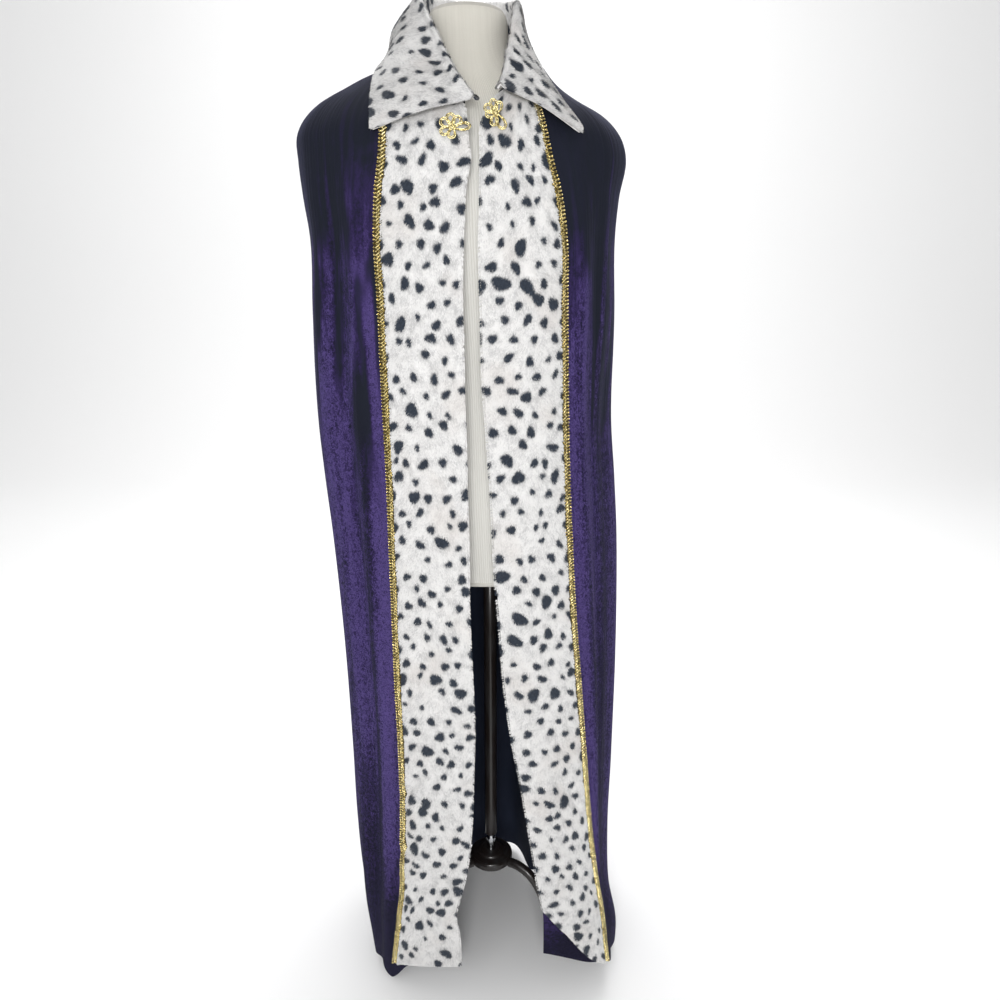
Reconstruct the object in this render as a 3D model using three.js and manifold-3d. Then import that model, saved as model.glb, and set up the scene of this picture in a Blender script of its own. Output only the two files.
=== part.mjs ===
import * as THREE from "three";
import { mergeVertices } from "three/addons/utils/BufferGeometryUtils.js";
import Module from "manifold-3d";

// An open coronation robe on a limbless dress form with a tripod stand.
// Millimetres, +Z up. While the robe is worked out the pole stands on the Z axis, the floor is z = 0,
// the robe's front faces -Y and "left" is towards -X.

// Driving dimensions.
const seamGap = 0.3;
const velvetThick = 1.6;
const furThick = 5;
const braidThick = 2.6;
const braidWidth = 13;
const poleRadius = 11;
const rodRadius = 8.5;
const formBottom = 747;
const plateThick = 7;
const leanStart = 745; // the form leans to the left above this height
const leanSlope = 0.0355;

// Columns and rows of faces.
const backColumns = 34;
const bandColumns = 7;
const sideColumns = 12;
const bandRows = 22; // from the neckline to the bands' hem
const hemRows = 2; // below it
const collarColumns = 30;
const collarRows = 12;

const quarterTurn = Math.PI / 2;
const { clamp, lerp, smoothstep } = THREE.MathUtils;

// Reads a short table anywhere between its rows, on a smooth curve through them.
function table(names, rows) {
  const places = rows.map((row) => row[0]);
  const values = rows.flatMap((row) => row.slice(1));
  const curve = new THREE.CubicInterpolant(places, values, names.length - 1);
  return (place) => {
    const found = curve.evaluate(clamp(place, places[0], places.at(-1)));
    return Object.fromEntries(names.slice(1).map((name, i) => [name, found[i]]));
  };
}

// The robe's outline at a height: how far left and right it reaches, how deep it is in front and behind, and
// how square its plan is at the two front corners and behind.
const outline = table(
  ["z", "left", "right", "front", "back", "leftSquare", "rightSquare", "backSquare"],
  [
    [0, -216, 226, 166, 190, 3.2, 5, 2.4],
    [70, -224, 226, 166, 190, 3.1, 5, 2.4],
    [140, -234, 212, 166, 189, 2.8, 4.6, 2.35],
    [260, -241, 206, 166, 188, 2.4, 3.7, 2.3],
    [400, -242, 209, 165, 184, 2.3, 2.9, 2.3],
    [600, -246, 210, 164, 176, 2.3, 2.4, 2.3],
    [800, -255, 203, 164, 166, 2.3, 2.3, 2.3],
    [900, -262, 195, 164, 160, 2.3, 2.3, 2.3],
    [1000, -267, 186, 163, 155, 2.3, 2.3, 2.3],
    [1160, -265, 186, 162, 148, 2.3, 2.3, 2.3],
    [1260, -262, 185, 160, 142, 2.3, 2.3, 2.3],
    [1320, -269, 190, 156, 136, 2.3, 2.3, 2.3],
    [1370, -273, 198, 148, 128, 2.3, 2.3, 2.3],
    [1400, -273, 188, 137, 120, 2.3, 2.3, 2.3],
    [1425, -260, 164, 121, 112, 2.2, 2.2, 2.2],
    [1445, -238, 129, 104, 104, 2.1, 2.1, 2.1],
    [1460, -210, 107, 89, 96, 2.05, 2.05, 2.05],
    [1475, -180, 91, 77, 87, 2, 2, 2],
    [1490, -139, 79, 68, 78, 2, 2, 2],
    [1510, -92, 60, 60, 68, 2, 2, 2],
  ],
);

// Where the two front edges and the braids' outer edges run at a height, measured across.
const openings = table(
  ["z", "leftEdge", "leftBraid", "rightBraid", "rightEdge"],
  [
    [0, -53, -176, 207, 92],
    [50, -52.5, -171, 205, 91.5],
    [90, -52, -166, 199.5, 91.5],
    [140, -53.5, -160, 193.5, 91],
    [170, -58, -156, 189, 90],
    [200, -53, -152, 183.7, 86.5],
    [240, -43.5, -150.5, 177.5, 79],
    [290, -35, -149.5, 171, 72],
    [350, -30, -146.5, 164.5, 63],
    [430, -26.5, -145.5, 157.7, 50],
    [510, -24, -145.6, 150.8, 36],
    [600, -25, -147, 142.5, 24.5],
    [700, -29, -147, 133, 17],
    [800, -29.5, -147, 125.2, 10],
    [930, -31, -146.5, 116.7, 4],
    [1060, -33, -147.9, 111.5, -5],
    [1180, -34, -148.5, 108, -8],
    [1250, -32.5, -150.3, 106, -9],
    [1310, -29, -147, 97, -8],
    [1360, -21.5, -140, 82, -7],
    [1400, -20, -137, 73, -5.5],
    [1440, -22, -133, 62, 15],
    [1475, -28, -126, 58, 24],
    [1510, -34, -84, 48, 30],
  ],
);

// Stations round the robe: 0 left front edge, 1 left braid, 2 left side seam, 3 centre back, 4 right side seam,
// 5 right braid, 6 right front edge. The neckline and the hems are heights at those stations.
const neckline = table(
  ["station", "z"],
  [
    [0, 1431],
    [0.25, 1456],
    [0.5, 1476],
    [0.8, 1492],
    [1.2, 1500],
    [2, 1507],
    [3, 1508],
    [4, 1507],
    [4.8, 1500],
    [5.2, 1490],
    [5.6, 1470],
    [6, 1442],
  ],
);
const velvetHem = table(
  ["station", "z"],
  [
    [0, 66],
    [0.3, 62],
    [0.55, 56],
    [0.72, 44],
    [0.86, 20],
    [0.98, 6],
    [1.04, 7],
    [1.2, 20],
    [1.6, 16],
    [2, 10],
    [2.5, 18],
    [3, 16],
    [3.5, 15],
    [4, 20],
    [4.6, 26],
    [4.85, 40],
    [5, 46],
    [5.1, 51],
    [5.25, 56],
    [5.5, 64],
    [5.75, 77],
    [6, 91],
  ],
);
// The bands end at this line, and the velvet runs on below it.
const bandHem = table(
  ["station", "z"],
  [
    [0, 70],
    [0.3, 66],
    [0.6, 60],
    [0.8, 54],
    [1, 42],
    [1.3, 60],
    [2, 76],
    [3, 84],
    [4, 76],
    [4.7, 52],
    [5, 48],
    [5.1, 53],
    [5.2, 58],
    [5.35, 67],
    [5.5, 86],
    [5.62, 106],
    [5.75, 130],
    [5.88, 154],
    [6, 186],
  ],
);

// Folds that run down the velvet: the station at the top and at the bottom, the heights between which they
// show, their width across and how far they stand out (or in, below zero).
const folds = [
  { top: 1.14, bottom: 1.16, high: 1440, low: 40, width: 15, out: 7 },
  { top: 1.34, bottom: 1.3, high: 1420, low: 0, width: 20, out: -8 },
  { top: 1.55, bottom: 1.48, high: 1400, low: 0, width: 24, out: 7 },
  { top: 1.78, bottom: 1.7, high: 1120, low: 0, width: 20, out: -9 },
  { top: 1.98, bottom: 1.94, high: 1330, low: 0, width: 26, out: 4 },
  { top: 2.22, bottom: 2.18, high: 1380, low: 0, width: 30, out: -12 },
  { top: 2.36, bottom: 2.34, high: 1300, low: 0, width: 34, out: 11 },
  { top: 2.58, bottom: 2.56, high: 1440, low: 0, width: 30, out: -14 },
  { top: 2.8, bottom: 2.78, high: 1250, low: 0, width: 36, out: 13 },
  { top: 2.98, bottom: 2.96, high: 1400, low: 0, width: 30, out: -10 },
  { top: 3.12, bottom: 3.1, high: 1200, low: 0, width: 34, out: 12 },
  { top: 3.27, bottom: 3.25, high: 900, low: 0, width: 40, out: -68 },
  { top: 3.44, bottom: 3.46, high: 1420, low: 0, width: 30, out: -13 },
  { top: 3.66, bottom: 3.68, high: 1290, low: 0, width: 34, out: 11 },
  { top: 3.86, bottom: 3.88, high: 1360, low: 0, width: 26, out: -9 },
  { top: 4.1, bottom: 4.14, high: 1330, low: 0, width: 24, out: 5 },
  { top: 4.36, bottom: 4.4, high: 1180, low: 0, width: 20, out: -7 },
  { top: 4.62, bottom: 4.66, high: 1400, low: 0, width: 18, out: -7 },
  { top: 4.84, bottom: 4.86, high: 1430, low: 60, width: 15, out: 6 },
];
const foldFade = 260; // a fold grows to its full depth over this height
const foldReach = 0.5; // no fold is felt further away than this many stations

// The collar: its neckline station, its roll line, its outer edge and how far its fall bulges between them.
const collarLine = table(
  ["place", "station", "rollX", "rollY", "rollZ", "edgeX", "edgeY", "edgeZ", "bulge"],
  [
    [0, 0.02, -18, -135, 1432, -147, -144, 1391, 15],
    [1, 0.2, -33, -124, 1452, -149, -128, 1409, 17],
    [2, 0.4, -46, -110, 1472, -151, -106, 1438, 17],
    [3, 0.7, -63, -86, 1506, -150, -66, 1475, 12],
    [4, 1.1, -83, -53, 1550, -144, -20, 1498, 14],
    [5, 1.8, -96, -12, 1586, -138, 32, 1500, 15],
    [6, 2.4, -80, 46, 1595, -94, 80, 1492, 10],
    [7, 3, -22, 72, 1597, -18, 97, 1484, 7],
    [8, 3.6, 27, 50, 1591, 45, 71, 1493, 5],
    [9, 4.2, 40, 6, 1579, 60, 18, 1514, 2],
    [10, 4.8, 40, -32, 1565, 61, -24, 1511, 0],
    [11, 5.2, 36, -61, 1532, 77, -66, 1474, 0],
    [12, 5.5, 30, -88, 1494, 96, -101, 1438, 6],
    [13, 5.75, 24, -113, 1463, 119, -123, 1403, 11],
    [14, 5.98, 18, -131, 1446, 121, -135, 1389, 11],
  ],
);
const lastPlace = 14;
const rollHalf = 5; // half the width of the turn at the roll line
const rollDrop = 0.8; // how far the fall drops over the turn's outer half, as a share of that half

// The dress form's half width and its depths in front and behind.
const form = table(
  ["z", "half", "front", "back", "square"],
  [
    [747, 150, 102, 98, 2.25],
    [850, 158, 112, 108, 2.25],
    [960, 150, 108, 104, 2.25],
    [1060, 146, 108, 104, 2.25],
    [1160, 160, 120, 110, 2.25],
    [1260, 176, 130, 116, 2.25],
    [1330, 188, 128, 116, 2.2],
    [1382, 198.3, 114, 106, 2.15],
    [1410, 197.6, 98, 94, 2.1],
    [1428, 180.5, 85, 83, 2.05],
    [1442, 157.6, 75, 75, 2],
    [1455, 134.5, 68, 70, 2],
    [1468, 109, 62, 65, 2],
    [1482, 82, 58, 61, 2],
    [1494, 67, 56, 58, 2],
    [1512, 58, 55, 56, 2],
    [1556, 55, 55, 55, 2],
    [1563, 51, 51, 51, 2],
  ],
);

const finishes = {
  velvet: { color: 0x2a1c52, roughness: 0.75, metalness: 0 },
  fur: { color: 0xe9e5e1, roughness: 0.95, metalness: 0 },
  gold: { color: 0xd4a83a, roughness: 0.35, metalness: 1 },
  knit: { color: 0xe3dccb, roughness: 0.9, metalness: 0 },
  plate: { color: 0xf1efe9, roughness: 0.6, metalness: 0 },
  black: { color: 0x0b0b0d, roughness: 0.18, metalness: 0 },
  steel: { color: 0xb9bcc0, roughness: 0.2, metalness: 1 },
};

const stand = new THREE.Group();

function add(name, finish, geometry) {
  const mesh = new THREE.Mesh(geometry, new THREE.MeshStandardMaterial(finishes[finish]));
  mesh.name = name;
  stand.add(mesh);
  return mesh;
}

const centreX = (z) => -leanSlope * Math.max(0, z - leanStart);

// How far round from centre front (0) to the side (1) the outline passes a place across.
function turnAt(x, z) {
  const shape = outline(z);
  const onLeft = x < centreX(z);
  const reach = onLeft ? centreX(z) - shape.left : shape.right - centreX(z);
  const share = clamp(Math.abs(x - centreX(z)) / reach, 0, 1);
  return Math.asin(share ** ((onLeft ? shape.leftSquare : shape.rightSquare) / 2)) / quarterTurn;
}

// A station's turn: 0 centre front, 1 left side, 2 centre back, 3 right side, 4 centre front again.
function turnOf(station, z) {
  const across = openings(z);
  const turns = [
    turnAt(across.leftEdge, z),
    turnAt(across.leftBraid, z),
    1,
    2,
    3,
    4 - turnAt(across.rightBraid, z),
    4 - turnAt(across.rightEdge, z),
  ];
  const first = clamp(Math.floor(station), 0, turns.length - 2);
  return lerp(turns[first], turns[first + 1], station - first);
}

// The outline is half a superellipse in front and half behind.
function outlinePoint(turn, z) {
  const shape = outline(z);
  const angle = turn * quarterTurn;
  const across = Math.sin(angle);
  const along = Math.cos(angle);
  const reach = across > 0 ? centreX(z) - shape.left : shape.right - centreX(z);
  const depth = along > 0 ? shape.front : shape.back;
  const frontSquare = across > 0 ? shape.leftSquare : shape.rightSquare;
  const power = 2 / (along > 0 ? frontSquare : shape.backSquare);
  const x = centreX(z) - Math.sign(across) * reach * Math.abs(across) ** power;
  const y = -Math.sign(along) * depth * Math.abs(along) ** power;
  return new THREE.Vector2(x, y);
}

function foldDepth(point, station, z) {
  let out = 0;
  for (const fold of folds) {
    const crestStation = lerp(fold.top, fold.bottom, (fold.high - z) / (fold.high - fold.low));
    if (Math.abs(station - crestStation) > foldReach) continue;
    const crest = outlinePoint(turnOf(crestStation, z), z);
    const across = point.distanceTo(crest) / fold.width;
    const shown = smoothstep(fold.high - z, 0, foldFade);
    out += fold.out * shown * Math.exp(-across * across);
  }
  return out;
}

const turnStep = 0.004;

// A point on the robe's inside, at a station and a height, with its folds.
function robePoint(station, z) {
  const turn = turnOf(station, z);
  const point = outlinePoint(turn, z);
  const along = outlinePoint(turn + turnStep, z).sub(outlinePoint(turn - turnStep, z)).normalize();
  point.addScaledVector(new THREE.Vector2(-along.y, along.x), foldDepth(point, station, z));
  return new THREE.Vector3(point.x, point.y, z);
}

const crowding = 1.45; // rows of faces lie closer together towards the neck
const slope = 0.004;

// A grid of points over a surface with its outward directions, for columns and rows of the surface's own values.
function grid(surface, columns, rows) {
  return rows.map((down) =>
    columns.map((across) => {
      const sideways = surface(across + slope, down).sub(surface(across - slope, down));
      const downwards = surface(across, down + slope).sub(surface(across, down - slope));
      return { point: surface(across, down), normal: sideways.cross(downwards).normalize() };
    }),
  );
}

// The robe's surface: a station, and a row that counts down from the neckline to the bands' hem and the velvet's.
function robeSurface(station, row) {
  const top = neckline(station).z;
  const bandEnd = bandHem(station).z;
  if (row > bandRows) {
    return robePoint(station, lerp(bandEnd, velvetHem(station).z, (row - bandRows) / hemRows));
  }
  const share = Math.max(0, row / bandRows);
  return robePoint(station, lerp(top, bandEnd, share ** crowding));
}

// Draws an edge of a grid back from a seam by half the gap, towards the column beside it.
function drawBack(cells, edge, beside) {
  for (const row of cells) {
    const inwards = row[beside].point.clone().sub(row[edge].point).normalize();
    row[edge].point.addScaledVector(inwards, seamGap / 2);
  }
}

const steps = (from, to, count) => Array.from({ length: count + 1 }, (_, i) => lerp(from, to, i / count));

// A closed cloth wall over a grid, from one distance outside it to another.
function wall(cells, inside, outside) {
  const points = [];
  const faces = [];
  const rows = cells.length - 1;
  const columns = cells[0].length - 1;
  const width = columns + 1;
  const layer = width * (rows + 1);
  for (const distance of [inside, outside]) {
    for (const { point, normal } of cells.flat()) {
      points.push(...point.clone().addScaledVector(normal, distance));
    }
  }
  const quad = (a, b, c, d) => faces.push(a, b, c, a, c, d);
  for (let row = 0; row < rows; row++) {
    for (let column = 0; column < columns; column++) {
      const a = row * width + column;
      quad(a, a + 1, a + width + 1, a + width);
      quad(layer + a, layer + a + width, layer + a + width + 1, layer + a + 1);
    }
  }
  const rim = [];
  for (let column = 0; column < columns; column++) rim.push(column);
  for (let row = 0; row < rows; row++) rim.push(row * width + columns);
  for (let column = columns; column > 0; column--) rim.push(rows * width + column);
  for (let row = rows; row > 0; row--) rim.push(row * width);
  rim.forEach((a, i) => {
    const b = rim[(i + 1) % rim.length];
    quad(a, layer + a, layer + b, b);
  });
  return closed(points, faces);
}

function closed(points, faces) {
  const geometry = new THREE.BufferGeometry();
  geometry.setAttribute("position", new THREE.Float32BufferAttribute(points, 3));
  geometry.setIndex(faces);
  return faceOut(geometry);
}

// Turns a closed mesh's faces round if they point inwards.
function faceOut(geometry) {
  const place = geometry.getAttribute("position");
  const index = [...geometry.index.array];
  const corner = (i) => new THREE.Vector3().fromBufferAttribute(place, index[i]);
  let volume = 0;
  for (let i = 0; i < index.length; i += 3) volume += corner(i).dot(corner(i + 1).cross(corner(i + 2)));
  if (volume < 0) geometry.setIndex(index.reverse());
  return geometry;
}

// Rings of points, bottom to top, closed at both ends with a flat fan.
function loft(rings) {
  const sides = rings[0].length;
  const points = rings.flat().flatMap((point) => [...point]);
  const faces = [];
  for (let ring = 0; ring < rings.length - 1; ring++) {
    for (let side = 0; side < sides; side++) {
      const a = ring * sides + side;
      const b = ring * sides + ((side + 1) % sides);
      faces.push(a, b, b + sides, a, b + sides, a + sides);
    }
  }
  const last = (rings.length - 1) * sides;
  for (let side = 1; side < sides - 1; side++) {
    faces.push(0, side + 1, side, last, last + side, last + side + 1);
  }
  return closed(points, faces);
}

// Solids of revolution about the Z axis from [radius, height] pairs that start and end on the axis.
function turned(profile, sides) {
  const points = profile.map(([radius, height]) => new THREE.Vector2(radius, height));
  return new THREE.LatheGeometry(points, sides).rotateX(quarterTurn);
}

const wasm = await Module();
wasm.setup();
const weldDistance = 1e-4;

function solid(geometry) {
  geometry.deleteAttribute("normal");
  geometry.deleteAttribute("uv");
  const merged = mergeVertices(geometry, weldDistance);
  const vertProperties = new Float32Array(merged.getAttribute("position").array);
  return new wasm.Manifold(
    new wasm.Mesh({ numProp: 3, vertProperties, triVerts: new Uint32Array(merged.index.array) }),
  );
}

function shaped(whole) {
  const mesh = whole.getMesh();
  const geometry = new THREE.BufferGeometry();
  geometry.setAttribute("position", new THREE.BufferAttribute(mesh.vertProperties, 3));
  geometry.setIndex([...mesh.triVerts]);
  return geometry;
}

// Joins closed geometries into one.
const joined = (geometries) => shaped(geometries.map(solid).reduce((sum, next) => sum.add(next)));

// The robe's three velvet panels meet at side seams that run on over the shoulders.
const leftSeam = 2;
const rightSeam = 4;
const allRows = steps(0, bandRows + hemRows, bandRows + hemRows);
const backCells = grid(robeSurface, steps(leftSeam, rightSeam, backColumns), allRows);
drawBack(backCells, 0, 1);
drawBack(backCells, backColumns, backColumns - 1);
add("back", "velvet", wall(backCells, 0, velvetThick));

// The fur bands lie on the fronts, with a braid down each outer edge. They are made from the fronts' points.
const bandWidth = 113;
const onVelvet = velvetThick + seamGap;
const braidShare = braidWidth / bandWidth;
const furShare = (braidWidth + seamGap * 3) / bandWidth;
for (const [side, edge, braidLine, seam] of [
  ["left", 0, 1, leftSeam],
  ["right", 6, 5, rightSeam],
]) {
  const inward = Math.sign(edge - braidLine);
  const stations = [
    ...steps(edge, braidLine + inward * furShare, bandColumns),
    braidLine + inward * braidShare,
    ...steps(braidLine, seam, sideColumns),
  ];
  const ordered = stations.sort((a, b) => a - b);
  const cells = grid(robeSurface, ordered, allRows);
  const last = ordered.length - 1;
  if (side === "left") drawBack(cells, last, last - 1);
  else drawBack(cells, 0, 1);
  const within = (from, to) =>
    cells
      .slice(1, bandRows + 1)
      .map((row) => row.filter((_, i) => ordered[i] >= Math.min(from, to) && ordered[i] <= Math.max(from, to)));
  add(`front_${side}`, "velvet", wall(cells, 0, velvetThick));
  const bandCells = within(edge, braidLine + inward * furShare);
  add(`band_${side}`, "fur", wall(bandCells, onVelvet, onVelvet + furThick));
  const braidCells = within(braidLine + inward * braidShare, braidLine);
  add(`braid_${side}`, "gold", wall(braidCells, onVelvet, onVelvet + braidThick));
}

// The collar stands on the neckline, turns at its roll line and falls over the shoulders.
function collarPoint(across, down) {
  const line = collarLine(across * lastPlace);
  const seam = robePoint(line.station, neckline(line.station).z);
  const roll = new THREE.Vector3(line.rollX, line.rollY, line.rollZ);
  const edge = new THREE.Vector3(line.edgeX, line.edgeY, line.edgeZ);
  const away = new THREE.Vector3(roll.x - centreX(roll.z), roll.y, 0).normalize();
  const fall = edge.clone().sub(roll).setZ(0).normalize();
  seam.addScaledVector(away, velvetThick / 2).setZ(seam.z + furThick / 2 + seamGap);
  const middle = roll.clone().lerp(edge, 0.5).addScaledVector(away, line.bulge);
  const turn = Math.min(rollHalf, seam.distanceTo(roll) / 2);
  const profile = new THREE.CatmullRomCurve3(
    [
      seam,
      roll.clone().addScaledVector(fall, -turn).setZ(roll.z - turn),
      roll,
      roll.clone().addScaledVector(fall, turn).setZ(roll.z - turn * rollDrop),
      middle,
      edge,
    ],
    false,
    "centripetal",
  );
  return profile.getPoint(clamp(down, 0, 1));
}
const collarCells = grid(collarPoint, steps(0, 1, collarColumns), steps(0, 1, collarRows));
add("collar", "fur", wall(collarCells, -furThick / 2, furThick / 2));

// The frog clasps: wire petals round a knot, each half lying on its band.
const wireRadius = 1.5;
const wireSides = 5;
const petalSteps = 10;
const knotRadius = 4;
const knotSides = 10;
const knotRings = 6;
const frogs = {
  left: {
    at: [-44, -152, 1391],
    petals: [
      { angle: 100, length: 17, width: 6 },
      { angle: 52, length: 16, width: 6 },
      { angle: 148, length: 17, width: 6 },
      { angle: 205, length: 16, width: 5.5 },
      { angle: 265, length: 13, width: 5.5 },
      { angle: 5, length: 23, width: 5 },
    ],
  },
  right: {
    at: [12, -146, 1408],
    petals: [
      { angle: 145, length: 17, width: 5.5 },
      { angle: 105, length: 18, width: 5 },
      { angle: 70, length: 15, width: 5 },
      { angle: 185, length: 13, width: 5 },
      { angle: 300, length: 21, width: 6 },
      { angle: 255, length: 15, width: 5 },
    ],
  },
};
const frogLean = -0.2; // the clasps lean back with the chest

// A round bar or wire along a curve.
function bar(path, radius, sides, count) {
  const section = new THREE.Shape(
    Array.from({ length: sides }, (_, i) => {
      const turn = (i * Math.PI * 2) / sides;
      return new THREE.Vector2(radius * Math.cos(turn), radius * Math.sin(turn));
    }),
  );
  return new THREE.ExtrudeGeometry(section, { steps: count, extrudePath: path, bevelEnabled: false });
}

// A petal is a pointed loop of wire with both ends in the knot, as shares of its length and width.
const petalPath = [
  [0.06, 0.25],
  [0.5, 0.85],
  [0.88, 0.7],
  [1, 0],
  [0.88, -0.7],
  [0.5, -0.85],
  [0.06, -0.25],
];

function petal({ angle, length, width }) {
  const points = petalPath.map(([along, aside]) => new THREE.Vector3(along * length, 0, aside * width));
  const wire = bar(new THREE.CatmullRomCurve3(points), wireRadius, wireSides, petalSteps);
  return wire.rotateY(-THREE.MathUtils.degToRad(angle));
}

for (const [side, frog] of Object.entries(frogs)) {
  const knot = new THREE.SphereGeometry(knotRadius, knotSides, knotRings);
  const clasp = add(`frog_${side}`, "gold", joined([knot, ...frog.petals.map(petal)]));
  clasp.position.set(...frog.at);
  clasp.rotation.x = frogLean;
}

// The dress form is a smooth loft from its flat underside to its neck.
const formSides = 32;
const formHeights = [
  747, 850, 960, 1060, 1160, 1220, 1280, 1330, 1365, 1390, 1410, 1425, 1437, 1449, 1461, 1473, 1485, 1500, 1520,
  1556, 1563,
];

function formRing(shape, z) {
  return Array.from({ length: formSides }, (_, side) => {
    const angle = (side / formSides) * Math.PI * 2;
    const [across, along] = [Math.cos(angle), Math.sin(angle)];
    const depth = along < 0 ? shape.front : shape.back;
    const x = Math.sign(across) * shape.half * Math.abs(across) ** (2 / shape.square);
    const y = Math.sign(along) * depth * Math.abs(along) ** (2 / shape.square);
    return new THREE.Vector3(centreX(z) + x, y, z);
  });
}
add("torso", "knit", loft(formHeights.map((z) => formRing(form(z), z))));

// The base plate closes the form's underside, and the pole meets it there.
const plateTop = formBottom - seamGap;
const plateBottom = plateTop - plateThick;
const plateInset = 2;
const plateShape = form(formBottom);
for (const key of ["half", "front", "back"]) plateShape[key] -= plateInset;
add("base_plate", "plate", loft([formRing(plateShape, plateBottom), formRing(plateShape, plateTop)]));

// The stand: an upper tube, a steel rod, a hub and three legs.
const tubeBottom = 201;
const hubTop = 168;
const hubRadius = 40;
const tubeSides = 24;
const hubSides = 30;
const tubeTop = plateBottom - seamGap;
add(
  "pole",
  "black",
  turned([[0, tubeBottom], [poleRadius, tubeBottom], [poleRadius, tubeTop], [0, tubeTop]], tubeSides),
);
const rodTop = tubeBottom - seamGap;
add(
  "rod",
  "steel",
  turned(
    [[0, hubTop + seamGap], [rodRadius, hubTop + seamGap], [rodRadius, rodTop], [0, rodTop]],
    tubeSides,
  ),
);
const hubProfile = [
  [0, 142],
  [30, 142],
  [38, 145],
  [hubRadius, 149],
  [hubRadius, 157],
  [37, 161],
  [26, 163],
  [24, 166],
  [14, hubTop],
  [0, hubTop],
];
add("hub", "black", turned(hubProfile, hubSides));

const legRadius = 8.5;
const legSides = 10;
const legSteps = 14;
const footReach = 138; // from the pole to the middle of a foot
const footRadius = 14;
const footTopRadius = 11;
const footHeight = 10;
const footSides = 20;
const legPath = [
  [hubRadius + seamGap, 151],
  [58, 151],
  [82, 142],
  [104, 118],
  [124, 62],
  [footReach, 6],
];

function leg() {
  const path = new THREE.CatmullRomCurve3(legPath.map(([out, up]) => new THREE.Vector3(0, -out, up)));
  const foot = new THREE.CylinderGeometry(footTopRadius, footRadius, footHeight, footSides);
  foot.rotateX(quarterTurn).translate(0, -footReach, footHeight / 2);
  const below = new THREE.BoxGeometry(hubRadius, hubRadius, hubRadius).translate(0, -footReach, -hubRadius / 2);
  const whole = solid(bar(path, legRadius, legSides, legSteps)).add(solid(foot));
  return shaped(whole.subtract(solid(below)));
}

for (const [name, angle] of [
  ["leg_front_left", -60],
  ["leg_front_right", 60],
  ["leg_back", 180],
]) {
  add(name, "black", leg()).rotation.z = THREE.MathUtils.degToRad(angle);
}

// The origin is on the floor below the middle of the whole piece.
stand.updateMatrixWorld(true);
const middle = new THREE.Box3().setFromObject(stand, true).getCenter(new THREE.Vector3());
stand.position.set(-middle.x, -middle.y, 0);

export default stand;
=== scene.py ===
import math
import bpy
import numpy as np
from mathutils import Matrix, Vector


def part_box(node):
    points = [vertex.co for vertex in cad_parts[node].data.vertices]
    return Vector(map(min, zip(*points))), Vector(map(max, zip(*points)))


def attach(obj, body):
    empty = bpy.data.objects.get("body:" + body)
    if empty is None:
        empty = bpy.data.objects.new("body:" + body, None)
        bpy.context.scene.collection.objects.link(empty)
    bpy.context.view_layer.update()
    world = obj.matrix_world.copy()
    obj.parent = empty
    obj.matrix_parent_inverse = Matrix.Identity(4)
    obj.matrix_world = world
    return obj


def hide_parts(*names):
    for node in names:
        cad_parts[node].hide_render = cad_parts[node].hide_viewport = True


# An open coronation robe with spotted fur bands and collar, on a limbless dress form.
# Sizes are in millimetres until a mesh is made. While the robe is worked out the pole stands on the z axis,
# the floor is z = 0, the open front faces -y and "left" is towards -x.

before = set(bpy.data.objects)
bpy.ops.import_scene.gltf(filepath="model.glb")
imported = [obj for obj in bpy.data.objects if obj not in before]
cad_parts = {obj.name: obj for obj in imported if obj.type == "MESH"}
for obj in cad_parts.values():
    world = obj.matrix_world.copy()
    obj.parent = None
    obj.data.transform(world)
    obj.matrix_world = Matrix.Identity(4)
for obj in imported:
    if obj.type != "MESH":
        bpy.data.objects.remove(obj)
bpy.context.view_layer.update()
poleLow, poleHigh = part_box("pole")
polePlace = np.array([(poleLow.x + poleHigh.x) / 2, (poleLow.y + poleHigh.y) / 2, 0])
mm = 0.001
print("frame loaded, pole at", polePlace)


# helpers: tables, curves, surfaces and meshes

def table(names, rows):  # a short table read anywhere between its rows, on one smooth curve through them
    data = np.array(rows, float)
    places, values = data[:, 0], data[:, 1:]
    last = len(places) - 1

    def read(place):
        place = np.clip(np.asarray(place, float), places[0], places[-1])
        i = np.clip(np.searchsorted(places, place, side="right"), 1, last)
        before = np.where(i == 1, i, i - 2)
        after = np.where(i == last, i - 1, i + 1)
        start, end = places[i - 1], places[i]
        p = (place - start) / (end - start)
        half = (end - start) / 2
        weightBefore = half / (start - places[before])
        weightAfter = half / (places[after] - end)
        shareBefore = weightBefore * (-p ** 3 + 2 * p ** 2 - p)
        shareStart = 1 + (weightBefore - 0.5) * p - (1.5 + 2 * weightBefore) * p ** 2
        shareStart = shareStart + (1 + weightBefore) * p ** 3
        shareEnd = -(1 + weightAfter) * p ** 3 + (1.5 + weightAfter) * p ** 2 + 0.5 * p
        shareAfter = weightAfter * (p ** 3 - p ** 2)
        found = (
            shareBefore[..., None] * values[before] + shareStart[..., None] * values[i - 1]
            + shareEnd[..., None] * values[i] + shareAfter[..., None] * values[after]
        )
        return {name: found[..., k] for k, name in enumerate(names[1:])}

    return read


def named(names, rows):  # a short list of named values
    return [dict(zip(names, row)) for row in rows]


def lerp(a, b, share):
    return a + (b - a) * share


def smooth(value, low, high):  # 0 below low, 1 above high and an even S between them
    share = np.clip((value - low) / (high - low), 0, 1)
    return share * share * (3 - 2 * share)


def unit(vectors):
    return vectors / np.maximum(np.linalg.norm(vectors, axis=-1, keepdims=True), 1e-9)


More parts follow.
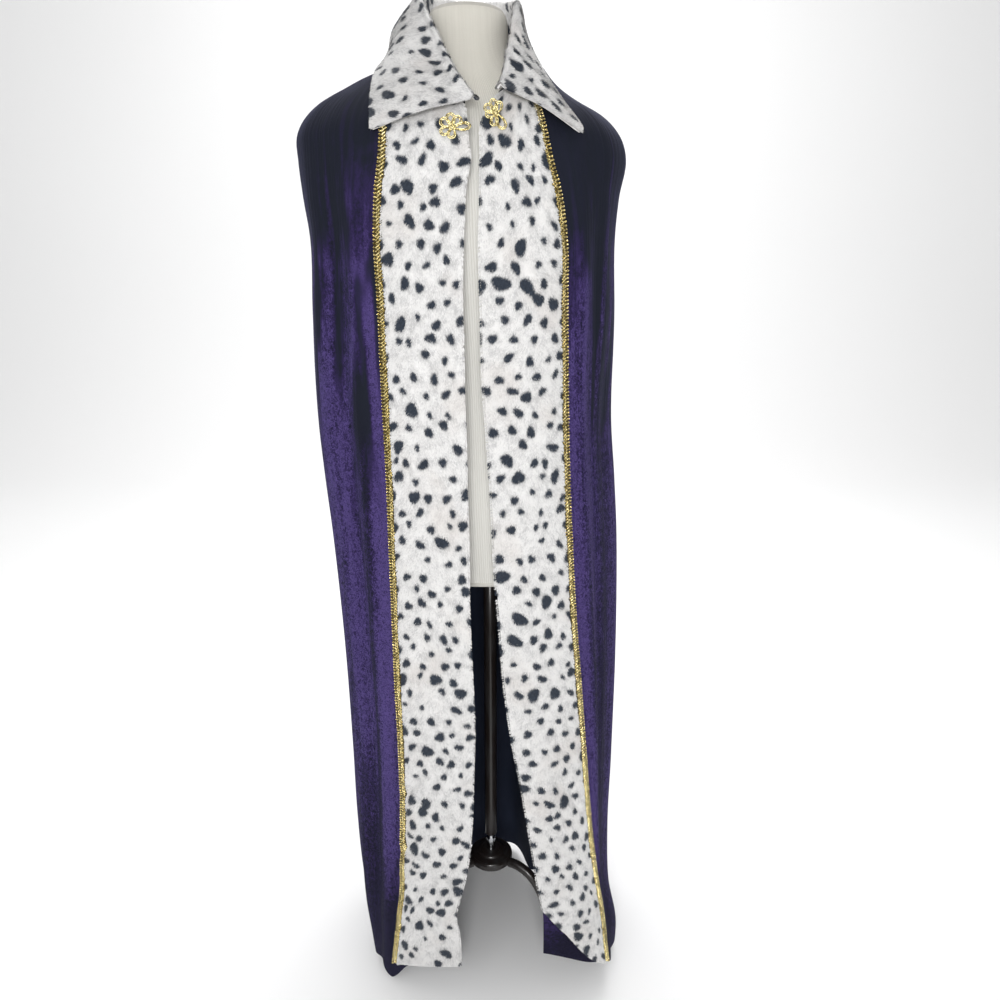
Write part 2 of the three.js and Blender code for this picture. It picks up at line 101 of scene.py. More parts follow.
def throughPoints(points, along):  # centripetal curve through points (k, ..., 3), read at shares along (m,)
    points = np.concatenate([2 * points[:1] - points[1:2], points, 2 * points[-1:] - points[-2:-1]])
    place = np.clip(np.asarray(along, float), 0, 1) * (len(points) - 3)
    i = np.minimum(place.astype(int), len(points) - 4)
    w = (place - i).reshape(-1, *[1] * (points.ndim - 1))
    a, b, c, d = points[i], points[i + 1], points[i + 2], points[i + 3]
    chords = [np.linalg.norm(q - p, axis=-1, keepdims=True) for p, q in ((a, b), (b, c), (c, d))]
    step = [np.sqrt(np.maximum(chord, 1e-6)) for chord in chords]
    startSlope = ((b - a) / step[0] - (c - a) / (step[0] + step[1]) + (c - b) / step[1]) * step[1]
    endSlope = ((c - b) / step[1] - (d - b) / (step[1] + step[2]) + (d - c) / step[2]) * step[1]
    bend = -3 * b + 3 * c - 2 * startSlope - endSlope
    twist = 2 * b - 2 * c + startSlope + endSlope
    return b + startSlope * w + bend * w ** 2 + twist * w ** 3


def gridNormals(points):  # across direction x down direction of a (rows, columns, 3) grid
    return unit(np.cross(np.gradient(points, axis=1), np.gradient(points, axis=0)))


def gridQuads(rows, columns, start=0, wrap=False):  # rows x columns of points, counted from start
    row, column = np.meshgrid(np.arange(rows - 1), np.arange(columns if wrap else columns - 1), indexing="ij")
    right = (column + 1) % columns
    upper, lower = row * columns, (row + 1) * columns
    corners = [upper + column, upper + right, lower + right, lower + column]
    return start + np.stack(corners, -1).reshape(-1, 4)


def makePiece(name, points, faces, materials, uv=None, marks=None, faceSlots=None, normals=None, sharp=45):
    faces = [np.asarray(part) for part in (faces if isinstance(faces, list) else [faces])]
    sizes = np.concatenate([np.full(len(part), part.shape[1]) for part in faces])
    corners = np.concatenate([part.ravel() for part in faces]).astype(np.int32)
    mesh = bpy.data.meshes.new(name)
    mesh.vertices.add(len(points))
    mesh.vertices.foreach_set("co", (points * mm + polePlace).astype(np.float32).ravel())
    mesh.loops.add(len(corners))
    mesh.loops.foreach_set("vertex_index", corners)
    mesh.polygons.add(len(sizes))
    mesh.polygons.foreach_set("loop_start", (np.cumsum(sizes) - sizes).astype(np.int32))
    for made in materials:
        mesh.materials.append(made)
    if faceSlots is not None:
        mesh.polygons.foreach_set("material_index", faceSlots.astype(np.int32))
    mesh.update(calc_edges=True)
    mesh.polygons.foreach_set("use_smooth", np.ones(len(sizes), bool))
    if uv is not None:
        mesh.uv_layers.new(name="UVMap").data.foreach_set("uv", (uv[corners] * mm).astype(np.float32).ravel())
    for key, values in (marks or {}).items():
        mesh.attributes.new(key, "FLOAT", "POINT").data.foreach_set("value", values.astype(np.float32))
    if normals is None:
        mesh.set_sharp_from_angle(angle=math.radians(sharp))
    else:
        mesh.normals_split_custom_set_from_vertices(normals.astype(np.float32))
    piece = bpy.data.objects.new(name, mesh)
    bpy.context.scene.collection.objects.link(piece)
    print("made", name, len(points), "points", (sizes - 2).sum(), "triangles")
    return piece


def standsFor(piece, slot, *nodes):
    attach(piece, "root")
    if nodes:
        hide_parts(*nodes)
    return piece


def wall(name, points, inside, outside, materials, uv, marks=None):  # a closed cloth wall over a grid
    rows, columns = points.shape[:2]
    normals = gridNormals(points)
    count = rows * columns
    layers = np.concatenate([(points + normals * far).reshape(-1, 3) for far in (inside, outside)])
    outer = gridQuads(rows, columns, count)
    inner = gridQuads(rows, columns)[:, ::-1]
    index = np.arange(count).reshape(rows, columns)
    rim = np.concatenate([index[0], index[1:, -1], index[-1, -2::-1], index[-2:0:-1, 0]])
    after = np.roll(rim, -1)
    edge = np.stack([rim, after, after + count, rim + count], 1)
    faceSlots = np.concatenate([np.zeros(len(outer)), np.ones(len(inner)), np.zeros(len(edge))])
    doubled = {key: np.tile(values.ravel(), 2) for key, values in (marks or {}).items()}
    return makePiece(
        name, layers, [outer, inner, edge], materials, np.tile(uv.reshape(-1, 2), (2, 1)), doubled, faceSlots,
    )


def tubes(paths, ups, radius, sides, closed=False):  # round wires along paths (count, steps, 3)
    count, steps = paths.shape[:2]
    if closed:
        tangents = np.roll(paths, -1, 1) - np.roll(paths, 1, 1)
    else:
        tangents = np.gradient(paths, axis=1)
    tangents = unit(tangents)
    aside = unit(np.cross(tangents, ups))
    over = np.cross(aside, tangents)
    turn = np.arange(sides) * 2 * np.pi / sides
    ring = np.cos(turn)[:, None] * aside[:, :, None] + np.sin(turn)[:, None] * over[:, :, None]
    points = paths[:, :, None] + ring * radius
    quads = gridQuads(steps + closed, sides, wrap=True)[:, ::-1] % (steps * sides)
    starts = np.arange(count)[:, None, None] * steps * sides
    faces = [(quads + starts).reshape(-1, 4)]
    if not closed:
        cap = np.arange(sides)
        faces.append(cap + starts[:, 0])
        faces.append((steps - 1) * sides + cap[::-1] + starts[:, 0])
    return points.reshape(-1, 3), faces


def joinParts(parts):  # several (points, faces) as one
    points, faces, start = [], [], 0
    for partPoints, partFaces in parts:
        points.append(partPoints)
        faces += [face + start for face in partFaces]
        start += len(partPoints)
    return np.concatenate(points), faces


def lathe(profile, sides):  # [radius, height] pairs turned about the z axis, from axis to axis, bottom to top
    profile = np.array(profile, float)
    turn = np.arange(sides) * 2 * np.pi / sides
    body = profile[1:-1]
    rings = np.stack([
        body[:, :1] * np.cos(turn), body[:, :1] * np.sin(turn), np.repeat(body[:, 1:], sides, 1),
    ], -1).reshape(-1, 3)
    ends = np.array([[0, 0, profile[0, 1]], [0, 0, profile[-1, 1]]])
    quads = gridQuads(len(body), sides, wrap=True)
    low, high = np.arange(sides), (len(body) - 1) * sides + np.arange(sides)
    bottom = np.stack([np.full(sides, len(rings)), np.roll(low, -1), low], 1)
    top = np.stack([np.full(sides, len(rings) + 1), high, np.roll(high, -1)], 1)
    return np.concatenate([rings, ends]), [quads, np.concatenate([bottom, top])]


# helpers: materials

def newMaterial(name, sockets):
    made = bpy.data.materials.new(name)
    made.use_nodes = True
    shader = made.node_tree.nodes["Principled BSDF"]
    for key, value in sockets.items():
        shader.inputs[key].default_value = value
    return made, made.node_tree, shader


def addNode(tree, kind, inputs=None, **settings):
    made = tree.nodes.new(kind)
    for key, value in settings.items():
        setattr(made, key, value)
    for key, value in (inputs or {}).items():
        if isinstance(value, bpy.types.NodeSocket):
            tree.links.new(value, made.inputs[key])
        else:
            made.inputs[key].default_value = value
    return made


def scaled(tree, scale, source="UV"):  # the piece's own coordinates, times a scale for each axis
    place = addNode(tree, "ShaderNodeTexCoord").outputs[source]
    return addNode(tree, "ShaderNodeMapping", {"Vector": place, "Scale": scale}).outputs["Vector"]


def noise(tree, vector, scale=1, detail=2, roughness=0.5, distortion=0):
    inputs = {"Vector": vector, "Scale": scale, "Detail": detail, "Roughness": roughness}
    return addNode(tree, "ShaderNodeTexNoise", {**inputs, "Distortion": distortion}).outputs["Fac"]


def stretched(tree, vector, detail, roughness, distortion):  # noise that uses its whole range from 0 to 1
    return between(tree, noise(tree, vector, 1, detail, roughness, distortion), 0.36, 0.64)


def mathOf(tree, operation, a, b=0.0):
    return addNode(tree, "ShaderNodeMath", {0: a, 1: b}, operation=operation).outputs[0]


def plus(tree, a, b):
    return mathOf(tree, "ADD", a, b)


def times(tree, a, b):
    return mathOf(tree, "MULTIPLY", a, b)


def weaveOf(tree, scale, distortion):  # fine stripes of threads
    inputs = {"Vector": scaled(tree, (1, 1, 1)), "Scale": scale, "Distortion": distortion}
    return addNode(tree, "ShaderNodeTexWave", inputs).outputs["Fac"]


def between(tree, value, low, high, toLow=0.0, toHigh=1.0):
    inputs = {"Value": value, "From Min": low, "From Max": high, "To Min": toLow, "To Max": toHigh}
    return addNode(tree, "ShaderNodeMapRange", inputs, interpolation_type="SMOOTHSTEP").outputs["Result"]


def mixOf(tree, share, a, b):
    made = addNode(tree, "ShaderNodeMix", data_type="RGBA")
    for key, value in (("Factor_Float", share), ("A_Color", a), ("B_Color", b)):
        socket = next(s for s in made.inputs if s.identifier == key)
        if isinstance(value, bpy.types.NodeSocket):
            tree.links.new(value, socket)
        else:
            socket.default_value = value
    return next(s for s in made.outputs if s.identifier == "Result_Color")


def markOf(tree, name):
    return addNode(tree, "ShaderNodeAttribute", attribute_name=name).outputs["Fac"]


def paint(tree, shader, color):
    tree.links.new(color, shader.inputs["Base Color"])


def addBump(tree, shader, height, strength, distance):
    inputs = {"Height": height, "Strength": strength, "Distance": distance}
    tree.links.new(addNode(tree, "ShaderNodeBump", inputs).outputs["Normal"], shader.inputs["Normal"])


# the robe's shape, with the same sections as its solids

leanStart, leanSlope = 745, 0.0355  # the form leans to the left above this height
outline = table(
    ["z", "left", "right", "front", "back", "leftSquare", "rightSquare", "backSquare"],
    [
        [0, -216, 226, 166, 190, 3.2, 5, 2.4],
        [70, -224, 226, 166, 190, 3.1, 5, 2.4],
        [140, -234, 212, 166, 189, 2.8, 4.6, 2.35],
        [260, -241, 206, 166, 188, 2.4, 3.7, 2.3],
        [400, -242, 209, 165, 184, 2.3, 2.9, 2.3],
        [600, -246, 210, 164, 176, 2.3, 2.4, 2.3],
        [800, -255, 203, 164, 166, 2.3, 2.3, 2.3],
        [900, -262, 195, 164, 160, 2.3, 2.3, 2.3],
        [1000, -267, 186, 163, 155, 2.3, 2.3, 2.3],
        [1160, -265, 186, 162, 148, 2.3, 2.3, 2.3],
        [1260, -262, 185, 160, 142, 2.3, 2.3, 2.3],
        [1320, -269, 190, 156, 136, 2.3, 2.3, 2.3],
        [1370, -273, 198, 148, 128, 2.3, 2.3, 2.3],
        [1400, -273, 188, 137, 120, 2.3, 2.3, 2.3],
        [1425, -260, 164, 121, 112, 2.2, 2.2, 2.2],
        [1445, -238, 129, 104, 104, 2.1, 2.1, 2.1],
        [1460, -210, 107, 89, 96, 2.05, 2.05, 2.05],
        [1475, -180, 91, 77, 87, 2, 2, 2],
        [1490, -139, 79, 68, 78, 2, 2, 2],
        [1510, -92, 60, 60, 68, 2, 2, 2],
    ],
)
openings = table(
    ["z", "leftEdge", "leftBraid", "rightBraid", "rightEdge"],
    [
        [0, -53, -176, 207, 92],
        [50, -52.5, -171, 205, 91.5],
        [90, -52, -166, 199.5, 91.5],
        [140, -53.5, -160, 193.5, 91],
        [170, -58, -156, 189, 90],
        [200, -53, -152, 183.7, 86.5],
        [240, -43.5, -150.5, 177.5, 79],
        [290, -35, -149.5, 171, 72],
        [350, -30, -146.5, 164.5, 63],
        [430, -26.5, -145.5, 157.7, 50],
        [510, -24, -145.6, 150.8, 36],
        [600, -25, -147, 142.5, 24.5],
        [700, -29, -147, 133, 17],
        [800, -29.5, -147, 125.2, 10],
        [930, -31, -146.5, 116.7, 4],
        [1060, -33, -147.9, 111.5, -5],
        [1180, -34, -148.5, 108, -8],
        [1250, -32.5, -150.3, 106, -9],
        [1310, -29, -147, 97, -8],
        [1360, -21.5, -140, 82, -7],
        [1400, -20, -137, 73, -5.5],
        [1440, -22, -133, 62, 15],
        [1475, -28, -126, 58, 24],
        [1510, -34, -84, 48, 30],
    ],
)
# stations round the robe: 0 left edge, 1 left braid, 2 left side seam, 3 centre back, 4 right side seam,
# 5 right braid, 6 right edge
neckline = table(
    ["station", "z"],
    [
        [0, 1431], [0.25, 1456], [0.5, 1476], [0.8, 1492], [1.2, 1500], [2, 1507],
        [3, 1508], [4, 1507], [4.8, 1500], [5.2, 1490], [5.6, 1470], [6, 1442],
    ],
)
velvetHem = table(
    ["station", "z"],
    [
        [0, 66], [0.3, 62], [0.55, 56], [0.72, 44], [0.86, 20], [0.98, 6], [1.04, 7], [1.2, 20],
        [1.6, 16], [2, 10], [2.5, 18], [3, 16], [3.5, 15], [4, 20], [4.6, 26], [4.85, 40],
        [5, 46], [5.1, 51], [5.25, 56], [5.5, 64], [5.75, 77], [6, 91],
    ],
)
bandHem = table(
    ["station", "z"],
    [
        [0, 70], [0.3, 66], [0.6, 60], [0.8, 54], [1, 42], [1.3, 60], [2, 76], [3, 84], [4, 76], [4.7, 52],
        [5, 48], [5.1, 53], [5.2, 58], [5.35, 67], [5.5, 86], [5.62, 106], [5.75, 130], [5.88, 154], [6, 186],
    ],
)
# each fold: its station at the top and the bottom, its heights, its width and how far it stands out
# (in, below zero)
folds = named(
    ["top", "bottom", "high", "low", "width", "out"],
    [
        [1.14, 1.16, 1440, 40, 15, 7], [1.34, 1.3, 1420, 0, 20, -8], [1.55, 1.48, 1400, 0, 24, 7],
        [1.78, 1.7, 1120, 0, 20, -9], [1.98, 1.94, 1330, 0, 26, 4], [2.22, 2.18, 1380, 0, 30, -12],
        [2.36, 2.34, 1300, 0, 34, 11], [2.58, 2.56, 1440, 0, 30, -14], [2.8, 2.78, 1250, 0, 36, 13],
        [2.98, 2.96, 1400, 0, 30, -10], [3.12, 3.1, 1200, 0, 34, 12], [3.27, 3.25, 900, 0, 40, -68],
        [3.44, 3.46, 1420, 0, 30, -13], [3.66, 3.68, 1290, 0, 34, 11], [3.86, 3.88, 1360, 0, 26, -9],
        [4.1, 4.14, 1330, 0, 24, 5], [4.36, 4.4, 1180, 0, 20, -7], [4.62, 4.66, 1400, 0, 18, -7],
        [4.84, 4.86, 1430, 60, 15, 6],
    ],
)
foldFade, foldReach = 260, 0.5
# soft creases: place across (from the left front edge, round the back), height, lean from upright in degrees,
# half length, half width and depth (above zero they stand out)
creases = named(
    ["across", "height", "lean", "long", "wide", "deep"],
    [
        [84, 418, -38, 34, 7, -5.3], [74, 398, -40, 30, 6, 3.2], [86, 300, -42, 40, 8, -5.7],
        [72, 280, -44, 34, 7, 3.6], [60, 340, -40, 60, 6, 2.6], [70, 150, -50, 44, 7, -3.6],
        [56, 210, -30, 34, 8, -3.2], [40, 560, 8, 120, 12, -1.8], [76, 900, -4, 160, 14, -1],
        [34, 1290, 10, 70, 9, -1.4], [1480, 1300, 4, 110, 8, -2.6], [1466, 1310, 5, 100, 7, 1.8],
        [1438, 1340, -8, 70, 7, -2], [1452, 410, 36, 46, 9, -5.3], [1466, 392, 38, 40, 8, 3.2],
        [1462, 290, 34, 34, 8, -4.1], [1446, 760, 4, 150, 12, -1.2], [168, 700, 1, 330, 7, -2.4],
        [186, 980, -2, 260, 6, 1.6], [212, 560, 2, 300, 8, -2], [240, 820, 0, 330, 9, 1.8],
        [268, 420, -1, 260, 8, -1.8], [1290, 640, -2, 320, 8, -2.2], [1322, 900, 1, 280, 7, 1.6],
        [1346, 500, -2, 300, 7, -1.8], [372, 700, 1, 320, 10, -2.4], [455, 520, -2, 300, 12, 2.2],
        [540, 860, 2, 340, 10, -2], [640, 600, 0, 360, 12, -2.4], [740, 760, -2, 330, 10, 2],
        [905, 900, 2, 300, 10, -2.2], [1010, 560, -1, 320, 12, 2], [1110, 740, 1, 340, 10, -2.2],
    ],
)
acrossMarks = [0, 113, 320, 760, 1200, 1400, 1513]  # how far round the cloth each station lies


def centreX(z):
    return -leanSlope * np.maximum(0, z - leanStart)


def turnAt(x, z):  # how far round from centre front (0) to the side (1) the outline passes a place across
    shape, middle = outline(z), centreX(z)
    onLeft = x < middle
    reach = np.where(onLeft, middle - shape["left"], shape["right"] - middle)
    square = np.where(onLeft, shape["leftSquare"], shape["rightSquare"])
    return np.arcsin(np.clip(np.abs(x - middle) / reach, 0, 1) ** (square / 2)) / (np.pi / 2)


def turnOf(station, z):  # 0 centre front, 1 left side, 2 centre back, 3 right side, 4 centre front again
    across = openings(z)
    flat = np.zeros(np.shape(z))
    turns = np.stack([
        turnAt(across["leftEdge"], z), turnAt(across["leftBraid"], z), flat + 1, flat + 2, flat + 3,
        4 - turnAt(across["rightBraid"], z), 4 - turnAt(across["rightEdge"], z),
    ])
    first = np.clip(np.floor(station), 0, 5).astype(int)
    start = np.take_along_axis(turns, first[None], 0)[0]
    end = np.take_along_axis(turns, first[None] + 1, 0)[0]
    return lerp(start, end, station - first)


def outlinePoint(turn, z):  # half a superellipse in front and half behind
    shape, middle = outline(z), centreX(z)
    across, along = np.sin(turn * np.pi / 2), np.cos(turn * np.pi / 2)
    reach = np.where(across > 0, middle - shape["left"], shape["right"] - middle)
    depth = np.where(along > 0, shape["front"], shape["back"])
    frontSquare = np.where(across > 0, shape["leftSquare"], shape["rightSquare"])
    power = 2 / np.where(along > 0, frontSquare, shape["backSquare"])
    return np.stack([
        middle - np.sign(across) * reach * np.abs(across) ** power,
        -np.sign(along) * depth * np.abs(along) ** power,
    ], -1)


def foldDepth(place, station, z):  # the sum of round ridges and valleys that fade in below their tops
    out = np.zeros(np.shape(z))
    for fold in folds:
        crestStation = lerp(fold["top"], fold["bottom"], (fold["high"] - z) / (fold["high"] - fold["low"]))
        crest = outlinePoint(turnOf(crestStation, z), z)
        far = np.linalg.norm(place - crest, axis=-1) / fold["width"]
        shown = smooth(fold["high"] - z, 0, foldFade) * (np.abs(station - crestStation) <= foldReach)
        out += fold["out"] * shown * np.exp(-far * far)
    return out


def robePoint(station, z):  # a point on the robe's inside, with its folds
    turn = turnOf(station, z)
    place = outlinePoint(turn, z)
    along = unit(outlinePoint(turn + 0.004, z) - outlinePoint(turn - 0.004, z))
    outward = np.stack([-along[..., 1], along[..., 0]], -1)
    place = place + outward * foldDepth(place, station, z)[..., None]
    return np.concatenate([place, np.asarray(z)[..., None]], -1)


def markSum(marks, key, across, height):  # each mark is a bell across its line, fading towards its ends
    out = np.zeros(np.shape(across))
    for mark in marks:
        lean = math.radians(mark["lean"])
        dx, dz = across - mark["across"], height - mark["height"]
        aside = dx * math.cos(lean) - dz * math.sin(lean)
        along = dx * math.sin(lean) + dz * math.cos(lean)
        bend = aside + 4 * np.sin(along / mark["long"] * 2 + mark["across"])
        out += mark[key] * np.exp(-(bend / mark["wide"]) ** 2 - (along / mark["long"]) ** 4)
    return out


def ripple(across, height):  # slight unevenness of hanging cloth: long upright waves that wander
    wander = across + 9 * np.sin(height / 170 + across / 90)
    narrow = 0.5 * np.sin(wander / 9.5) * np.sin(height / 140 + 1)
    return narrow + 0.6 * np.sin(wander / 17 + 2) * np.sin(height / 230)


def robeSurface(stations, shares):  # share 0 neckline, 1 the bands' hem, 2 the velvet's hem
    station, share = np.meshgrid(stations, shares)
    bandEnd = bandHem(station)["z"]
    top = neckline(station)["z"]
    above = lerp(top, bandEnd, np.minimum(share, 1))
    z = np.where(share > 1, lerp(bandEnd, velvetHem(station)["z"], share - 1), above)
    points = robePoint(station, z)
    across = np.interp(station, np.arange(7), acrossMarks)
    calm = smooth(top - z, 10, 90) * smooth(z - velvetHem(station)["z"], 0, 60)
    small = markSum(creases, "deep", across, z) + ripple(across, z) * calm
    points = points + gridNormals(points) * small[..., None]
    return points, np.stack([across, z], -1)


# velvet panels

velvet = {
    "thick": 1.6,
    "seamGap": 0.3,
    "rows": 200,
    "hemRows": 8,
    # the next three turn fold depth and creases into painted light on ridges and painted shade in valleys and
    # creases
    "foldShadeReach": 16,
    "shadeOfFold": 0.034,
    "shadeOfCrease": 0.08,
    "backColumns": 150,
    "frontColumns": 72,
    "shadeAndNapShare": 0.62,
    "streakShare": 0.22,
    "patchShare": 0.16,
    "crumpleShare": 0.64,
    "riseShare": 0.04,
    "lowShare": 0.3,
    "navy": (0.0085, 0.0105, 0.018, 1),
    "dark": (0.006, 0.005, 0.017, 1),
    "purple": (0.028, 0.017, 0.076, 1),
    "lit": (0.078, 0.053, 0.19, 1),
    "wrongSide": (0.014, 0.019, 0.036, 1),
    # painted light (above zero) and painted shade (below zero) besides the folds themselves: lit ridges,
    # shaded valleys, shaded hem corners and a darker right panel, partly also the way the pile lies
    "litAndShadedMarks": named(
        ["across", "height", "lean", "long", "wide", "lit"],
        [
            [127, 740, -1, 520, 11, 0.72], [150, 600, -1, 520, 8, -0.95], [158, 1120, 2, 160, 12, -0.35],
            [186, 760, 1, 330, 20, 0.5], [214, 700, -2, 300, 6, -0.4], [254, 520, 0, 460, 24, -0.5],
            [205, 190, 0, 220, 52, -0.6], [128, 90, 0, 100, 30, -0.9], [148, 1248, 4, 55, 5, 0.7],
            [166, 1232, -6, 70, 3, 0.55], [182, 1190, 5, 60, 3, 0.45], [150, 1110, -3, 60, 6, 0.6],
            [129, 1180, 1, 60, 6, 0.5], [1388, 560, 1, 480, 11, 0.5], [1366, 640, 1, 420, 7, -0.5],
            [1340, 760, 0, 260, 16, 0.25], [1350, 360, 0, 320, 48, -0.25], [1300, 600, 0, 520, 24, -0.4],
            [1376, 110, 0, 130, 34, -0.8], [1346, 1180, 2, 90, 5, 0.35], [1364, 1130, -2, 80, 4, 0.3],
            [1456, 40, 0, 90, 80, -1.3], [60, 30, 0, 60, 80, -1], [520, 640, 0, 460, 18, 0.35],
            [980, 700, 0, 460, 18, 0.35],
        ],
    ),
}


def crushedVelvet():  # smooth and navy at the shoulders, crushed and purple further down
    made, tree, shader = newMaterial("crushedVelvet", {
        "Roughness": 0.8, "Sheen Weight": 0.07, "Sheen Roughness": 0.35, "Sheen Tint": (0.4, 0.4, 0.9, 1),
        "Specular IOR Level": 0.12,
    })
    height = addNode(tree, "ShaderNodeSeparateXYZ", {"Vector": scaled(tree, (1, 1, 1))}).outputs["Y"]
    drift = stretched(tree, scaled(tree, (20, 2.6, 1)), 2, 0.6, 1.2)
    shaken = plus(tree, height, times(tree, mathOf(tree, "SUBTRACT", drift, 0.5), 0.36))
    rise = between(tree, shaken, 1.27, 0.90)
    low = between(tree, height, 0.04, 0.34)
    streak = stretched(tree, scaled(tree, (130, 5.5, 1)), 4, 0.6, 0.4)
    patch = stretched(tree, scaled(tree, (48, 24, 1)), 3, 0.6, 1.0)
    crumple = stretched(tree, scaled(tree, (250, 170, 1)), 4, 0.7, 1.3)
    crack = noise(tree, scaled(tree, (210, 170, 1)), 1, 2, 0.6, 1.6)
    crackLine = between(tree, mathOf(tree, "ABSOLUTE", mathOf(tree, "SUBTRACT", crack, 0.5)), 0.0, 0.06, 1, 0)
    # how light the cloth looks: painted light and shade of the folds, creases and marks, upright streaks,
    # patches and the crushed crumple where the pile lies different ways, and darker towards the hem
    parts = {
        "streak": streak, "patch": patch, "crumple": times(tree, crumple, rise), "rise": rise, "low": low,
    }
    level = times(tree, markOf(tree, "shadeAndNap"), velvet["shadeAndNapShare"])
    for name, part in parts.items():
        level = plus(tree, level, times(tree, part, velvet[name + "Share"]))
    purple = between(tree, level, 0.66, 1.1)
    purple = times(tree, purple, between(tree, shaken, 1.34, 1.0, 0.05, 1))
    color = mixOf(tree, purple, mixOf(tree, rise, velvet["navy"], velvet["dark"]), velvet["purple"])
    # painted highlight: the lit purple on the lightest places, away from the shoulders and the hem
    paintedHighlight = times(tree, between(tree, level, 0.98, 1.42), times(tree, rise, low))
    color = mixOf(tree, paintedHighlight, color, velvet["lit"])
    cracks = times(tree, times(tree, crackLine, rise), 0.8)
    color = mixOf(tree, cracks, color, velvet["dark"])
    paint(tree, shader, color)
    relief = mathOf(tree, "SUBTRACT", crumple, times(tree, crackLine, 0.4))
    relief = times(tree, relief, rise)
    relief = plus(tree, relief, times(tree, streak, 0.35))
    addBump(tree, shader, relief, 0.6, 0.0016)
    return made


def wrongSide():  # the velvet's plain knitted back
    made, tree, shader = newMaterial("velvetWrongSide", {"Roughness": 0.85, "Specular IOR Level": 0.2})
    loops = noise(tree, scaled(tree, (700, 500, 1)), 1, 2)
    soft = between(tree, noise(tree, scaled(tree, (12, 4, 1)), 1, 3), 0.3, 0.7, 0, 0.6)
    color = mixOf(tree, soft, velvet["wrongSide"], (0.026, 0.033, 0.060, 1))
    paint(tree, shader, color)
    addBump(tree, shader, loops, 0.4, 0.0004)
    return made


velvetMaterials = [crushedVelvet(), wrongSide()]
velvetShares = np.concatenate([
    np.linspace(0, 1, velvet["rows"]) ** 1.2, 1 + np.linspace(0, 1, velvet["hemRows"] + 1)[1:],
])
leftColumns, backColumns = velvet["frontColumns"], velvet["backColumns"]
stations = np.concatenate([
    np.linspace(0, 2, leftColumns), np.linspace(2, 4, backColumns)[1:], np.linspace(4, 6, leftColumns)[1:],
])
points, uv = robeSurface(stations, velvetShares)
station, high = np.broadcast_to(stations, uv.shape[:2]), uv[..., 1]
depth = foldDepth(outlinePoint(turnOf(station, high), high), station, high)
bulge = np.clip(depth, -velvet["foldShadeReach"], velvet["foldShadeReach"])
# painted light on the fold ridges, painted shade in the fold valleys and creases, and the listed marks of
# painted light and shade
shadeAndNap = 0.5 + bulge * velvet["shadeOfFold"] + markSum(creases, "deep", uv[..., 0], high) * velvet["shadeOfCrease"]
shadeAndNap = np.clip(shadeAndNap + markSum(velvet["litAndShadedMarks"], "lit", uv[..., 0], high), -0.2, 1.3)
panels = {  # columns of the whole robe, each seam's column in both its panels
    "back": slice(leftColumns - 1, leftColumns + backColumns - 1),
    "front_left": slice(0, leftColumns),
    "front_right": slice(leftColumns + backColumns - 2, None),
}
for name, part in panels.items():
    lies = {"shadeAndNap": shadeAndNap[:, part]}
    piece = wall("velvet_" + name, points[:, part], 0, velvet["thick"], velvetMaterials, uv[:, part], lies)
    standsFor(piece, "velvet", name)


# spotted fur

fur = {
    "base": 2.4,  # the skin and the dense underfur
    "pile": 4.2,
    "rootDepth": 2.2,
    "tufts": 61000,
    "edgeTufts": 8000,
    "tuftWidth": 1.25,
    "white": (0.76, 0.752, 0.742, 1),
    "shade": (0.50, 0.495, 0.495, 1),
    "slate": (0.022, 0.028, 0.040, 1),
    "spotPitch": 24.5,
}


def spotChart(width, height, seed):  # spots on a shaken grid, mostly small ovals and now and then a large one
    draw = np.random.default_rng(seed)
    pitch = fur["spotPitch"]
    columns, rows = int(width / pitch) + 3, int(height / pitch) + 3
    row, column = np.meshgrid(np.arange(rows), np.arange(columns), indexing="ij")
    x = (column + 0.5 * (row % 2) - 1).ravel() * pitch + draw.uniform(-6, 6, row.size)
    y = (row.ravel() - 1) * pitch + draw.uniform(-6, 6, row.size)
    large = draw.random(row.size) < 0.14
    half = np.where(large, draw.uniform(8.2, 10.8, row.size), draw.uniform(4.6, 7.6, row.size))
    kept = draw.random(row.size) > 0.07
    spots = np.stack([
        x, y, half * draw.uniform(0.7, 0.9, row.size), half * draw.uniform(0.95, 1.25, row.size),
        draw.normal(0, 0.5, row.size), draw.uniform(0, 6.28, row.size), draw.uniform(0, 6.28, row.size),
    ], 1)
    return spots[kept]


def spotAmount(x, y, spots):  # ovals with a wavy outline: 1 inside, a thin haze round them and 0 outside
    amount = np.zeros(np.shape(x))
    for spotX, spotY, wide, tall, lean, wave, wave2 in spots:
        near = np.nonzero((np.abs(x - spotX) < 24) & (np.abs(y - spotY) < 24))
        dx, dy = x[near] - spotX, y[near] - spotY
        aside = (dx * math.cos(lean) - dy * math.sin(lean)) / wide
        along = (dx * math.sin(lean) + dy * math.cos(lean)) / tall
        angle = np.arctan2(along, aside)
        shape = 1 + 0.09 * np.sin(2 * angle + wave) + 0.09 * np.sin(3 * angle + wave2)
        past = (np.hypot(aside, along) / shape - 1) * min(wide, tall)  # mm outside the outline
        inside = 1 - smooth(past, -0.9, 0.9)
        haze = 0.16 * np.exp(-np.maximum(past, 0) / 2.2)
        amount[near] = np.maximum(amount[near], np.maximum(inside, haze))
    return amount


